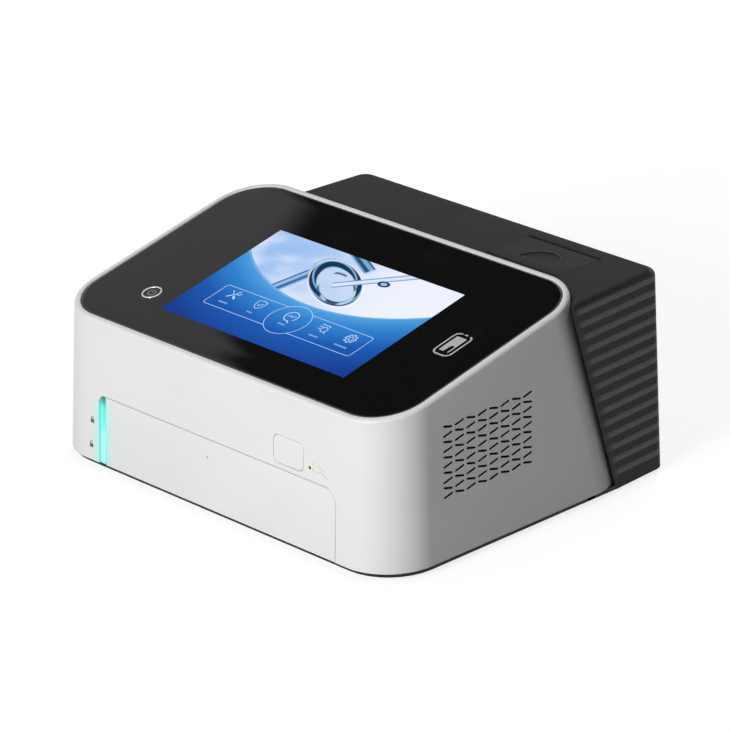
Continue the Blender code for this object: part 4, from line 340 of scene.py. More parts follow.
finishes = {
    "white_abs": glossyWhite(),
    "charcoal_abs": sparkCharcoal(),
    "black_base": mouldedNylon("blackBase", 0.014),
    "polished_steel": mirrorSteel(),
    "brushed_steel": brushedSheet("brushedSteel", 0.56, 0.34, (0.06, 1, 1)),
    "light_guide": frostedGuide(),
    "clear_pipe": glowingPipe(),
    "circuit_green": circuitBoard(),
    "grey_nylon": mouldedNylon("greyNylon", 0.34, 1.05),
    "black_nylon": mouldedNylon("blackNylon", 0.022),
    "rubber": softRubber(),
    "aluminium": brushedSheet("aluminium", 0.62, 0.3, (1, 0.12, 1), 0.000006),
    "paper": thermalPaper(),
}


# frames of the tilted glass and the leaning front

tilt = math.radians(12.67)
lean = math.radians(3.725)
rear = 125.25 * mm


def onGlass(x, along, above):
    return Vector((x, -114.65 * mm + along * math.cos(tilt) - above * math.sin(tilt),
                   103.8 * mm + along * math.sin(tilt) + above * math.cos(tilt)))


def onFront(x, up, inward):
    return Vector((x, -125.25 * mm + inward * math.cos(lean) + up * math.sin(lean),
                   5.7 * mm + up * math.cos(lean) - inward * math.sin(lean)))


def level(u, v, w):
    return (u, v, w)


def onBack(u, v, w):
    return (u, w, v)


def onSide(u, v, w):
    return (w, u, v)


# mesh helpers

def roundedLoop(low, high, radii, steps):
    # Points round a rectangle, counter-clockwise from its low corner.
    if not isinstance(radii, (list, tuple)):
        radii = [radii] * 4
    spots = [(low[0] + radii[0], low[1] + radii[0], 180), (high[0] - radii[1], low[1] + radii[1], 270),
             (high[0] - radii[2], high[1] - radii[2], 0), (low[0] + radii[3], high[1] - radii[3], 90)]
    points = []
    for (x, y, start), radius in zip(spots, radii):
        count = steps if radius > 0 else 0
        for step in range(count + 1):
            angle = math.radians(start + 90 * step / max(count, 1))
            points.append((x + radius * math.cos(angle), y + radius * math.sin(angle)))
    return points


def ring(radius, steps, centre=(0, 0), start=0.0):
    return [(centre[0] + radius * math.cos(start + math.tau * n / steps),
             centre[1] + radius * math.sin(start + math.tau * n / steps)) for n in range(steps)]


def lofted(rings, closed=False):
    shape = bmesh.new()
    rows = [[shape.verts.new(point) for point in row] for row in rings]
    for low, high in zip(rows, rows[1:] + rows[:1] * closed):
        for n in range(len(low)):
            m = (n + 1) % len(low)
            shape.faces.new((low[n], low[m], high[m], high[n]))
    if not closed:
        shape.faces.new(rows[0])
        shape.faces.new(rows[-1])
    bmesh.ops.recalc_face_normals(shape, faces=shape.faces)
    return shape


def prism(outline, low, high, place):
    return lofted([[place(u, v, w) for u, v in outline] for w in (low, high)])


def turned(profile, steps, place, centre=(0, 0), closed=False):
    rings = [[place(u, v, along) for u, v in ring(radius, steps, centre)] for radius, along in profile]
    return lofted(rings, closed)


def joined(shapes):
    whole = bmesh.new()
    for shape in shapes:
        carrier = bpy.data.meshes.new("carrier")
        shape.to_mesh(carrier)
        shape.free()
        whole.from_mesh(carrier)
        bpy.data.meshes.remove(carrier)
    return whole


def sweep(cx, cy, radius, start, end, steps):
    return [(cx + radius * math.cos(math.radians(start + (end - start) * n / steps)),
             cy + radius * math.sin(math.radians(start + (end - start) * n / steps))) for n in range(steps + 1)]


def quarter(steps, first=1):
    # Cosines and sines from 0 to 90 degrees, for a rounded edge.
    return [(math.cos(math.radians(90 * n / steps)), math.sin(math.radians(90 * n / steps)))
            for n in range(first, steps + 1)]


def stroke(path, width, low, high, place, closed=False):
    # A flat bar of even width along a path.
    count = len(path)
    outer, inner = [], []
    for n, point in enumerate(path):
        here = Vector(point)
        before = Vector(path[n - 1]) if closed or n else here
        after = Vector(path[(n + 1) % count]) if closed or n < count - 1 else here
        one = (here - before).normalized() if (here - before).length else (after - here).normalized()
        two = (after - here).normalized() if (after - here).length else one
        side = (one + two).normalized().orthogonal()
        bend = max(one.dot((one + two).normalized()), 0.5)
        outer.append(here + side * (width / 2 / bend))
        inner.append(here - side * (width / 2 / bend))
    rows = [[place(p.x, p.y, w) for p, w in ((a, low), (a, high), (b, high), (b, low))]
            for a, b in zip(outer, inner)]
    return lofted(rows, closed)


def shifted(points, cx=0, cy=0, size=1.0):
    # Moves points given in millimetres, then turns them to metres.
    return [((cx + x * size) * mm, (cy + y * size) * mm) for x, y in points]


def bowed(*points):
    # Rounds a path's bends by cutting its corners twice.
    for _ in range(2):
        cut = [points[0]]
        for (a, b), (c, d) in zip(points, points[1:]):
            cut += [(a * 0.75 + c * 0.25, b * 0.75 + d * 0.25), (a * 0.25 + c * 0.75, b * 0.25 + d * 0.75)]
        points = cut + [points[-1]]
    return points


def addPiece(name, shape, material, body=None, slot=None, angle=30):
    # The material is one of the finishes by its slot's name, or a material; a slot given beside it is not used.
    if isinstance(material, str):
        slot, material = material, finishes[material]
    mesh = bpy.data.meshes.new(name)
    shape.to_mesh(mesh)
    shape.free()
    mesh.shade_smooth()
    mesh.set_sharp_from_angle(angle=math.radians(angle))
    mesh.materials.append(material)
    piece = bpy.data.objects.new(name, mesh)
    bpy.context.scene.collection.objects.link(piece)
    if body:
        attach(piece, body)
    return piece


def carve(piece, shape, operation="DIFFERENCE"):
    # Applies a Boolean with a closed shape, then throws the tool away.
    tool = addPiece("tool", shape, piece.data.materials[0])
    tool.data.materials.clear()
    change = piece.modifiers.new("carve", "BOOLEAN")
    change.operation = operation
    change.solver = "EXACT"
    change.object = tool
    bpy.context.view_layer.update()
    plain = bpy.data.meshes.new_from_object(piece.evaluated_get(bpy.context.evaluated_depsgraph_get()))
    piece.modifiers.remove(change)
    bpy.data.objects.remove(tool, do_unlink=True)
    old = piece.data
    piece.data = plain
    bpy.data.meshes.remove(old)
    plain.name = piece.name
    plain.shade_smooth()
    plain.set_sharp_from_angle(angle=math.radians(30))


def grown(name, tree, inputs, material, base=None):
    # Runs a Geometry Nodes tree and keeps its result as a plain mesh.
    carrier = bpy.data.objects.new(name, base or bpy.data.meshes.new(name))
    bpy.context.scene.collection.objects.link(carrier)
    made = carrier.modifiers.new("make", "NODES")
    made.node_group = tree
    for item in tree.interface.items_tree:
        if item.item_type == "SOCKET" and item.in_out == "INPUT" and item.name in inputs:
            made[item.identifier] = inputs[item.name]
    bpy.context.view_layer.update()
    graph = bpy.context.evaluated_depsgraph_get()
    plain = bpy.data.meshes.new_from_object(carrier.evaluated_get(graph))
    carrier.modifiers.remove(made)
    carrier.data = plain
    plain.name = name
    plain.materials.clear()
    plain.materials.append(material)
    plain.shade_smooth()
    plain.set_sharp_from_angle(angle=math.radians(30))
    return carrier


class Grower:
    # A Geometry Nodes tree under construction, with named inputs.
    def __init__(self, name, inputs):
        self.tree = bpy.data.node_groups.new(name, "GeometryNodeTree")
        self.tree.interface.new_socket("Geometry", in_out="INPUT", socket_type="NodeSocketGeometry")
        for label, kind in inputs.items():
            self.tree.interface.new_socket(label, in_out="INPUT", socket_type="NodeSocket" + kind)
        self.tree.interface.new_socket("Geometry", in_out="OUTPUT", socket_type="NodeSocketGeometry")
        self.entry = self.tree.nodes.new("NodeGroupInput")

    def given(self, label):
        return Value(self.tree, self.entry.outputs[label])

    def node(self, kind, settings=None, inputs=None, output=0):
        return self.given("Geometry").node(kind, settings, inputs, output)

    def gather(self, *shapes):
        join = self.tree.nodes.new("GeometryNodeJoinGeometry")
        for shape in shapes:
            self.tree.links.new(shape.out, join.inputs[0])
        return Value(self.tree, join.outputs[0])

    def close(self, geometry):
        real = self.node("GeometryNodeRealizeInstances", None, {0: geometry})
        dressed = self.node("GeometryNodeSetMaterial", None, {"Geometry": real, "Material": self.given("Material")})
        leave = self.tree.nodes.new("NodeGroupOutput")
        self.tree.links.new(dressed.out, leave.inputs[0])
        return self.tree


print("helpers ready")


# hood: drafted shell with a rolled rim round the glass

hoodSizes = inMetres({"half": 162, "depth": 219, "corner": 37, "wall": 2.6, "bottom": 5.7, "glassHalf": 153.2,
                      "glassLength": 175, "glassCorner": 31.6, "rimFront": 5, "rimSide": 4.6, "rimRear": 4.5,
                      "rimCorner": 36.5, "fillet": 2.5, "crest": 0.4, "chamfer": 0.5, "gap": 0.3, "ledge": 8,
                      "ledgeTop": -2.5, "inner": -4.5, "groove": 1.2, "grooveDeep": 0.75, "through": (-8, 11),
                      "drawerHole": ((-110.9, -8), (114.85, 47.35), (0, 0, 10.55, 6)),
                      "keyHole": ((57.4, 50.4), (85.5, 69.5), 4.9), "lampHole": 1.2, "lamp": (90.9, 55.7),
                      "rearCut": ((-105, 50), (123, 101)), "rearCutHigh": (11, 134.5), "grooveFrom": -1})
hoodSizes |= {"steps": 24, "bands": 14, "grooveStart": (71.45, 59.95)}
grooveWays = (bowed((21.6, -4.85), (25.85, -4.85), (30.25, -4.25), (35.8, -7.0)),
              bowed((22.2, -0.75), (28.25, -0.85), (33.0, -2.6)))


def hoodLoop(half, front, back, corner, grow):
    return roundedLoop((-half - grow, front - grow), (half + grow, back + grow), corner + grow, hoodSizes["steps"])


def footLoop(grow):
    h = hoodSizes
    return hoodLoop(h["half"], 0, h["depth"], h["corner"], grow)


def rimLoop(grow):
    h = hoodSizes
    half = h["glassHalf"] + h["rimSide"]
    return hoodLoop(half, -h["rimFront"], h["glassLength"] + h["rimRear"], h["rimCorner"], grow)


def glassLoop(grow):
    h = hoodSizes
    return hoodLoop(h["glassHalf"], 0, h["glassLength"], h["glassCorner"], grow)


def buildHood():
    h = hoodSizes
    edge = h["fillet"] - h["crest"]
    foot = [Vector((x, y - rear, h["bottom"])) for x, y in footLoop(0)]
    brow = [onGlass(x, s, -edge) for x, s in rimLoop(0)]
    rings = []
    for band in range(h["bands"]):
        share = band / h["bands"]
        rings.append([low.lerp(high, share) for low, high in zip(foot, brow)])
    for cosine, sine in quarter(9, 0):
        inset = h["fillet"] * (1 - cosine)
        rings.append([onGlass(x, s, h["fillet"] * sine - edge) for x, s in rimLoop(-inset)])
    for grow, above in ((h["gap"] + h["chamfer"], h["crest"]), (h["gap"] + h["chamfer"] * 0.35, h["crest"] * 0.75),
                        (h["gap"], h["crest"] - h["chamfer"]), (h["gap"], h["ledgeTop"]),
                        (-h["ledge"], h["ledgeTop"]), (-h["ledge"], h["inner"])):
        rings.append([onGlass(x, s, above) for x, s in glassLoop(grow)])
    shift = (-h["inner"] - edge) * math.tan(tilt + lean)
    half = h["glassHalf"] + h["rimSide"] - h["wall"]
    corner = h["rimCorner"] - h["wall"]
    innerLoop = roundedLoop((-half, -h["rimFront"] + h["wall"] - shift),
                            (half, h["glassLength"] + h["rimRear"] - h["wall"]), corner, h["steps"])
    rings.append([onGlass(x, s, h["inner"]) for x, s in innerLoop])
    rings.append([Vector((x, y - rear, h["bottom"])) for x, y in footLoop(-h["wall"])])
    hood = addPiece("hoodShell", lofted(rings, closed=True), "white_abs", "base")
    carve(hood, prism(roundedLoop(*h["drawerHole"], 14), *h["through"], onFront))
    holes = roundedLoop(*h["keyHole"], 8), ring(h["lampHole"], 24, h["lamp"])
    carve(hood, joined([prism(loop, *h["through"], onFront) for loop in holes]))
    carve(hood, prism(roundedLoop(*h["rearCut"], 0, 0), *h["rearCutHigh"], level))
    grooves = [stroke(shifted(path, *h["grooveStart"]), h["groove"], h["grooveFrom"], h["grooveDeep"], onFront)
               for path in grooveWays]
    carve(hood, joined(grooves))
    return hood


hood = buildHood()
print("hood shell built")


# air slots in both flanks

slotSizes = inMetres({"Column pitch": 9.75, "Row pitch": 4.95, "Length": 7.9, "Width": 1.4, "Depth": 9,
                      "Start": (153, -68.25, 91.5)})
slotSizes |= {"Columns": 8, "Rows": 10, "Slant": math.radians(14)}


def slotTree():
    floats = dict.fromkeys(("Column pitch", "Row pitch", "Length", "Width", "Slant", "Depth", "Side"), "Float")
    t = Grower("airSlots", {"Columns": "Int", "Rows": "Int", **floats, "Material": "Material"})
    bar = t.node("GeometryNodeCurvePrimitiveQuadrilateral", {"mode": "RECTANGLE"},
                 {"Width": t.given("Length"), "Height": t.given("Width")})
    soft = t.node("GeometryNodeFilletCurve", {"mode": "POLY"},
                  {"Curve": bar, "Radius": t.given("Width") * 0.49, "Count": 4, "Limit Radius": True})
    face = t.node("GeometryNodeFillCurve", {"mode": "NGONS"}, {"Curve": soft})
    slot = t.node("GeometryNodeExtrudeMesh", {"mode": "FACES"},
                  {"Mesh": face, "Offset Scale": t.given("Depth"), "Individual": False})
    back = t.node("GeometryNodeFlipFaces", None, {0: face})
    shut = t.node("GeometryNodeMergeByDistance", None, {0: t.gather(slot, back), "Distance": 0.000001})
    index = t.node("GeometryNodeInputIndex")
    rows = t.given("Rows")
    column = (index / rows).maths("FLOOR")
    line = index - column * rows
    odd = (column + line).maths("MODULO", 2)
    cells = t.node("GeometryNodePoints", None, {"Count": rows * t.given("Columns")})
    spot = t.node("ShaderNodeCombineXYZ", None,
                  {"X": column * t.given("Column pitch"), "Y": line * t.given("Row pitch") * -1.0})
    placed = t.node("GeometryNodeSetPosition", None, {"Geometry": cells, "Position": spot})
    turn = t.node("ShaderNodeCombineXYZ", None, {"Z": (odd * 2.0 - 1.0) * t.given("Slant") * t.given("Side")})
    spin = t.node("FunctionNodeEulerToRotation", None, {0: turn})
    copies = t.node("GeometryNodeInstanceOnPoints", None, {"Points": placed, "Instance": shut, "Rotation": spin})
    return t.close(copies)


slotPlan = slotTree()


def cutSlots(side):
    white = finishes["white_abs"]
    bank = grown("slotBank", slotPlan, {**slotSizes, "Side": float(side), "Material": white}, white)
    # u runs to the back, v up, w outwards through the wall
    startX, startY, startZ = slotSizes["Start"]
    for vertex in bank.data.vertices:
        u, v, w = vertex.co
        vertex.co = (side * (startX + w), startY + u + math.tan(lean) * v, startZ + v)
    shape = bmesh.new()
    shape.from_mesh(bank.data)
    bmesh.ops.recalc_face_normals(shape, faces=shape.faces)
    bpy.data.objects.remove(bank, do_unlink=True)
    carve(hood, shape)


for side in (1, -1):
    cutSlots(side)
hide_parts("hood")
print("air slots cut:", len(hood.data.polygons), "faces")

# glass: black-backed sheet with a soft edge and a hole for the power button

glassSizes = inMetres({"thick": 2.2, "bevel": 1.5, "drop": 0.7, "foot": 0.15, "hole": 7.2,
                       "button": (-105.3, 37.8), "holeDeep": 6}) | {"bands": 7}


def blackGlass():
    look = Finish("blackGlass", (0.004, 0.004, 0.0045), 0.05, IOR=1.5)
    smudge = look.noise(45, 4, 0.6).step(0.45, 0.8)
    look.set("Roughness", smudge.spread(0.035, 0.085))
    look.set("Base Color", smudge.blend(rgb(0.0036, 0.0036, 0.0042), rgb(0.0052, 0.0052, 0.0056)))
    return look.material


def buildGlass():
    g = glassSizes
    rows = [(-g["foot"], -g["thick"]), (0, g["foot"] - g["thick"]), (0, -g["drop"])]
    rows += [(g["bevel"] * (cosine - 1), g["drop"] * (sine - 1)) for cosine, sine in quarter(g["bands"])]
    rings = [[onGlass(x, s, above) for x, s in glassLoop(grow)] for grow, above in rows]
    sheet = addPiece("glassSheet", lofted(rings), blackGlass(), "base", "glass_black")
    carve(sheet, prism(ring(g["hole"], 48, g["button"]), -g["holeDeep"], g["holeDeep"], onGlass))
    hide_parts("glass_panel")


buildGlass()


# lit display: a thin lit sheet on the glass, with a picture drawn by its material

displaySizes = inMetres({"low": (-84.6, 27.5), "high": (87.6, 135), "corner": 0.5, "back": -0.3, "sheet": 0.04})
pictureSizes = {"arc": (3, 218, 140.6), "ring": (0, 104.5, 32, 16.5), "rod": ((-0.7, 102), (44.3, 136.6)),
                "tube": ((-36, 76), (-24, 109)), "stem": ((-13, 137), (11, 125.5)), "drop": (30, 119)}


def alongLine(u, v, start, end):
    # Share of the way from start to end, and the distance to the side.
    run, rise = end[0] - start[0], end[1] - start[1]
    size = math.hypot(run, rise)
    share = ((u - start[0]) * (run / size) + (v - start[1]) * (rise / size)) / size
    across = (v - start[1]) * (run / size) - (u - start[0]) * (rise / size)
    return share, across


def litPicture():
    d = pictureSizes
    look = Finish("litPicture", (0.01, 0.015, 0.03), 0.07, IOR=1.5, Emission_Strength=1.0, Specular_IOR_Level=0.0)
    x, y, z = look.place.parts()
    u = x / mm
    v = ((y + 114.65 * mm) * math.cos(tilt) + (z - 103.8 * mm) * math.sin(tilt)) / mm

    def waves(value, low, high, dark, light):
        return value.maths("SINE").step(low, high).blend(screen(*dark), screen(*light))

    inside = (u - d["arc"][0]).length(v - d["arc"][1]) * -1.0 + d["arc"][2]
    deep = (inside * (-1 / 62)).ramp((0, screen(78, 160, 222)), (0.22, screen(46, 128, 204)),
                                     (0.55, screen(20, 86, 174)), (1, screen(11, 54, 140)))
    cloud = look.noise(19, 3, 0.5, (1, 1.6, 1)).step(0.38, 0.64)
    sky = cloud.blend(screen(158, 192, 240), screen(214, 226, 250))
    sky = u.step(-62, 62).blend(sky, screen(238, 241, 252))

    # a glass ring seen at a slant, with a tube and a stem behind it
    cu, cv, long, short = d["ring"]
    a = (u - cu) * 0.866 - (v - cv) * 0.5
    b = (u - cu) * 0.5 + (v - cv) * 0.866
    e = (a / long).length(b / short)
    sky = (e.step(0.98, 0.74) * 0.55).blend(sky, screen(176, 204, 238))
    share, across = alongLine(u, v, *d["tube"])
    tube = waves(across * 0.9, -0.7, 0.9, (58, 108, 160), (150, 190, 228))
    sky = (abs(across).step(5.6, 4.8) * (share > 0) * share.step(1, 0.86)).blend(sky, tube)
    share, across = alongLine(u, v, *d["stem"])
    stem = waves(across * 1.1, -0.8, 0.8, (24, 74, 112), (122, 172, 208))
    sky = (abs(across).step(4.6, 3.6) * share.step(1.02, 0.9)).blend(sky, stem)
    half = (a * (-1 / long)).limit(-1, 1) * 0.06 + 0.13
    near = waves(e * 26 + a * 0.16 - b * 0.1, 0.3, 1.0, (8, 46, 82), (128, 180, 216))
    sky = (abs(e - 0.86) - half).step(0.035, -0.02).blend(sky, near)
    sky = (abs(e - 1.01).step(0.05, 0.01) * 0.7).blend(sky, screen(246, 250, 255))
    far = ((a - 6) / (long * 0.72)).length((b + 1) / (short * 0.76))
    farTone = waves(a * 0.3 + b * 0.2, -0.2, 0.8, (20, 66, 104), (190, 220, 240))
    sky = ((abs(far - 0.9) - 0.06).step(0.03, -0.02) * 0.85).blend(sky, farTone)

    # a rod across the ring, and a drop beside it
    share, across = alongLine(u, v, *d["rod"])
    rod = abs(across).step(1.3, 2.9).blend(screen(216, 230, 248), screen(74, 122, 172))
    sky = (abs(across).step(3.3, 2.9) * share.step(-0.02, 0.02)).blend(sky, rod)
    off = ((u - d["drop"][0]) / 5.2).length((v - d["drop"][1]) / 3.2)
    sky = off.step(1.05, 0.9).blend(sky, off.step(0.45, 0.6).blend(screen(150, 196, 226), screen(8, 36, 72)))

    picture = inside.step(-0.25, 0.25).blend(deep, sky)
    picture = (abs(inside + 0.9).step(1.0, 0.3) * 0.35).blend(picture, screen(150, 205, 245))
    look.set("Emission Color", picture)
    return look.material


def buildDisplay():
    d = displaySizes
    outline = roundedLoop(d["low"], d["high"], d["corner"], 4)
    addPiece("litDisplay", prism(outline, d["back"], d["sheet"], onGlass), litPicture(), "base", "glass_black")


buildDisplay()


# menu on the display, and the printed marks

def screenInk(name, colour):
    look = Finish(name, [c * 0.2 for c in colour[:3]], 0.3, Emission_Strength=1.0, Specular_IOR_Level=0.1)
    look.set("Emission Color", look.mottle(160, 2, rgb(*(c * 0.93 for c in colour[:3])), colour))
    return look.material


def printInk(name, tone, rough=0.42):
    look = Finish(name, (tone, tone, tone), rough, IOR=1.5)
    look.set("Base Color", look.mottle(700, 2, grey(tone * 0.9), grey(tone * 1.06)))
    look.set("Roughness", look.noise(400, 2).spread(rough - 0.06, rough + 0.06))
    return look.material


menuSizes = inMetres({"low": 0.03, "high": 0.07, "line": 0.42, "thin": 0.56, "captionTall": 1.35})
menuSizes |= {"bar": (-64.8, 46.2, 72.2, 69.5), "corner": 2.2, "circle": (4.2, 58, 16),
              "icons": ((-51.9, 62.2), (-26.6, 62.2), (3.6, 61.9), (33.5, 61.9), (58.5, 61.9)), "size": 0.95,
              "captions": ((-51.9, 8.2), (-26.6, 4.6), (3.6, 6.4), (33.5, 8.2), (58.5, 11.0)), "captionLine": 52.4}


def menuShapes():
    m = menuSizes
    w = m["thin"]
    x0, y0, x1, y1 = m["bar"]
    cx, cy, radius = m["circle"]
    c = m["corner"]
    high = math.sqrt(radius ** 2 - (y1 - cy) ** 2)
    low = math.sqrt(radius ** 2 - (y0 - cy) ** 2)
    left = [(cx - high, y1)] + sweep(x0 + c, y1 - c, c, 90, 180, 6) + sweep(x0 + c, y0 + c, c, 180, 270, 6) + [
        (cx - low, y0)]
    right = [(cx + high, y1)] + sweep(x1 - c, y1 - c, c, 90, 0, 6) + sweep(x1 - c, y0 + c, c, 0, -90, 6) + [
        (cx + low, y0)]
    paths = [(shifted(left), m["line"], False), (shifted(right), m["line"], False),
             (shifted(sweep(0, 0, radius, 0, 351, 78), cx, cy), m["line"], True)]

    # each icon: its scale, then its strokes with their weights, and whether each closes
    k = m["size"]
    shield = [(2.0, 4.0), (4.0, 3.5), (4.0, 0.2), (3.2, -2.2), (1.8, -3.9)]
    shield = [(0, 4.9), *shield, (0, -5.0), *((-x, y) for x, y in reversed(shield))]
    icons = (
        (k, ([(-3.9, -3.9), (1.7, 1.7)], 1.5, False), (sweep(3.0, 3.0, 1.75, 75, 375, 14), 1.2, False),
         ([(-4.3, 4.3), (-0.8, 0.8)], 1, False), ([(1.1, -1.1), (4.0, -4.0)], 2.6, False)),
        (k, (shield, 1, True), ([(-1.9, 0.1), (-0.5, -1.6), (2.1, 1.7)], 1, False)),
        (1.1, (sweep(0, 0, 4.6, -40, 285, 26), 1.25, False), ([(1.2, -4.6), (2.6, -6.2)], 1.6, False),
         ([(-2.6, -0.9), (-1.1, 0.9), (0.4, -0.5), (2.6, 1.4)], 1, False)),
        (k, ([(-4.6, 3.9), (3.2, 3.9)], 1, False), ([(-4.6, 1.3), (-1.6, 1.3)], 1, False),
         ([(-4.6, -1.3), (-2.4, -1.3)], 1, False), ([(3.2, 3.9), (3.2, 2.6)], 1, False),
         (sweep(1.2, -0.9, 2.7, 0, 345, 23), 1, True), ([(3.1, -2.8), (4.8, -4.4)], 1.3, False)),
        (k, (sweep(0, 0, 1.9, 0, 342, 19), 1, True)))
    for spot, (size, *strokes) in zip(m["icons"], icons):
        paths += [(shifted(path, *spot, size), w * weight, closed) for path, weight, closed in strokes]
    teeth = []
    for n in range(8):
        for share, reach in ((-0.32, 3.5), (-0.2, 4.7), (0.2, 4.7), (0.32, 3.5)):
            angle = math.tau * (n + share) / 8
            teeth.append((reach * math.cos(angle), reach * math.sin(angle)))
    paths.append((shifted(teeth, *m["icons"][-1], k), w, True))
    return joined([stroke(path, width, m["low"], m["high"], onGlass, closed) for path, width, closed in paths])


def captionShapes():
    # Plain bars stand where the words would be.
    m = menuSizes
    bars = []
    for centre, width in m["captions"]:
        line = shifted([(centre - width / 2, m["captionLine"]), (centre + width / 2, m["captionLine"])])
        bars.append(stroke(line, m["captionTall"], m["low"], m["high"], onGlass))
    return joined(bars)


addPiece("menuIcons", menuShapes(), screenInk("menuInk", screen(182, 208, 244)), "base", "glass_black")
addPiece("menuCaptions", captionShapes(), screenInk("captionInk", screen(112, 158, 218)), "base", "glass_black")


# tap mark: a card in a broken outline, printed in silver beside the display

tapSizes = {"outer": ((115.9, 76.4), (130.1, 100.6)), "corner": 4.2, "gap": 119.3, "dash": (122.0, 124.6),
            "card": ((118.6, 80.4), (127.2, 97.2)), "cardCorner": 0.8, "notch": ((121.6, 79.6), (126.6, 88.8)),
            "notchIn": (0.9, 0.6), "notchFoot": 0.8, "notchOff": 0.5, "notchRound": 0.62}
tapSizes |= inMetres({"line": 1.25, "low": -0.05, "high": 0.05})


def tapShapes():
    t = tapSizes
    (x0, y0), (x1, y1) = t["outer"]
    c = t["corner"]
    path = [(t["gap"], y1), *sweep(x0 + c, y1 - c, c, 90, 180, 8), *sweep(x0 + c, y0 + c, c, 180, 270, 8),
            *sweep(x1 - c, y0 + c, c, 270, 360, 8), *sweep(x1 - c, y1 - c, c, 0, 72, 7)]
    ways = path, [(x, y1) for x in t["dash"]]
    outlines = [stroke(shifted(way), t["line"], t["low"], t["high"], onGlass) for way in ways]
    (a0, b0), (a1, b1) = t["card"]
    (n0, m0), (n1, m1) = t["notch"]
    foot = m0 + t["notchFoot"]
    half = (n1 - n0) / 2
    tip = sweep((n0 + n1) / 2 + t["notchOff"], m1 - half, half * t["notchRound"], 180, 0, 10)
    c = t["cardCorner"]
    face = [*sweep(a0 + c, b0 + c, c, 180, 270, 4), (n0 + t["notchIn"][0], foot), *tip, (n1 - t["notchIn"][1], foot),
            *sweep(a1 - c, b0 + c, c, 270, 360, 4), *sweep(a1 - c, b1 - c, c, 0, 90, 4),
            *sweep(a0 + c, b1 - c, c, 90, 180, 4)]
    return joined([*outlines, prism(shifted(face), t["low"], t["high"], onGlass)])


addPiece("tapMark", tapShapes(), printInk("silverInk", 0.56, 0.3), "base", "glass_black")
print("glass, display and marks built")


# power button: a bright turned ring round a dished black cap

powerSizes = inMetres({"centre": (-105.3, 37.8), "outer": 6.9, "inner": 5.7, "proud": 0.5, "flange": 9.0,
                       "flangeTop": -2.5, "flangeLow": -4.0, "deep": -6.7, "cap": 5.4, "capLow": -3.0,
                       "dish": 0.25, "crown": 0.45, "rise": 0.35, "chamfer": 0.12, "sign": 0.62,
                       "signDeep": (-0.4, -0.04)}) | {"steps": 96}


def onButton(u, v, above):
    return onGlass(powerSizes["centre"][0] + u, powerSizes["centre"][1] + v, above)


def buildPowerButton():
    p = powerSizes
    crown = [(p["inner"], p["deep"]), (p["inner"], p["proud"] - p["crown"])]
    middle = (p["inner"] + p["outer"]) / 2
    half = (p["outer"] - p["inner"]) / 2
    for n in range(13):
        angle = math.pi * (1 - n / 12)
        crown.append((middle + half * math.cos(angle), p["proud"] + p["crown"] * (math.sin(angle) - 1)))
    crown += [(p["outer"], p["flangeTop"]), (p["flange"], p["flangeTop"]), (p["flange"], p["flangeLow"]),
              (p["outer"], p["flangeLow"]), (p["outer"], p["deep"])]
    collar = turned(crown, p["steps"], onButton, closed=True)
    bezel = addPiece("powerBezel", collar, "polished_steel", "base", angle=40)
    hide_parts("power_ring")
    face = p["cap"] - p["crown"]
    profile = [(p["cap"], p["capLow"]), (p["cap"], -p["rise"]), (p["cap"] - p["chamfer"], -p["chamfer"]), (face, 0)]
    for n in range(1, 8):
        radius = face * (1 - n / 8)
        profile.append((radius, -p["dish"] * (1 - (radius / p["cap"]) ** 2)))
    cap = addPiece("powerCap", turned(profile, p["steps"], onButton), "black_nylon", "power_key", angle=40)
    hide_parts("power_button")
    paths = [sweep(0, 0, 2.75, 122, 418, 30), [(0, 0.3), (0, 3.5)]]
    sign = joined([stroke(shifted(path), p["sign"], *p["signDeep"], onButton) for path in paths])
    addPiece("powerSign", sign, printInk("greyInk", 0.27), "power_key", "black_nylon")


buildPowerButton()


# drawer front, key, and the marks on the front

frontSizes = inMetres({"left": -104.1, "right": 114.3, "height": 46.8, "corner": 10, "thick": 3, "edge": 0.55,
                       "key": (71.45, 59.95), "keySize": (27.5, 18.5), "keyCorner": 4.6, "keyProud": 0.2,
                       "keyEdge": 0.6, "keySeat": (3.6, 5), "keyFlange": 1.2, "ink": 0.03, "backEdge": 0.2,
                       "sign": 0.62, "signDeep": 0.4})


def buildDrawerFront():
    f = frontSizes
    rows = [(f["backEdge"], f["thick"]), (0, f["thick"] - f["backEdge"]), (0, f["edge"])]
    rows += [(f["edge"] * (1 - cosine), f["edge"] * (1 - sine)) for cosine, sine in quarter(5)]
    rings = []
    for inset, inward in rows:
        loop = roundedLoop((f["left"] + inset, inset), (f["right"] - inset, f["height"] - inset),
                           (0, 0, f["corner"] - inset, 0), 20)
        rings.append([onFront(x, up, inward) for x, up in loop])
    panel = addPiece("drawerPanel", lofted(rings), "white_abs", "drawer")
    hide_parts("drawer_front")
    arrow = [(-1.15, 0.7), (1.15, 0.7), (0, -0.9)]
    addPiece("openArrow", prism(shifted(arrow, -4.5, 34.6), -f["ink"], f["edge"], onFront),
             printInk("frontInk", 0.34), "drawer", "white_abs")


def buildKey():
    f = frontSizes
    cx, cz = f["key"]
    front, back = f["keySeat"]
    rows = [(f["keyFlange"], back), (f["keyFlange"], front), (0, front), (0, f["keyEdge"] - f["keyProud"])]
    rows += [(f["keyEdge"] * (cosine - 1), f["keyEdge"] * (1 - sine) - f["keyProud"]) for cosine, sine in quarter(7)]
    rings = []
    for grow, inward in rows:
        half = f["keySize"][0] / 2 + grow
        tall = f["keySize"][1] / 2 + grow
        loop = roundedLoop((cx - half, cz - tall), (cx + half, cz + tall), f["keyCorner"] + grow, 14)
        rings.append([onFront(x, up, inward) for x, up in loop])
    key = addPiece("openKey", lofted(rings), "white_abs", "eject_key", angle=45)
    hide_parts("drawer_key")


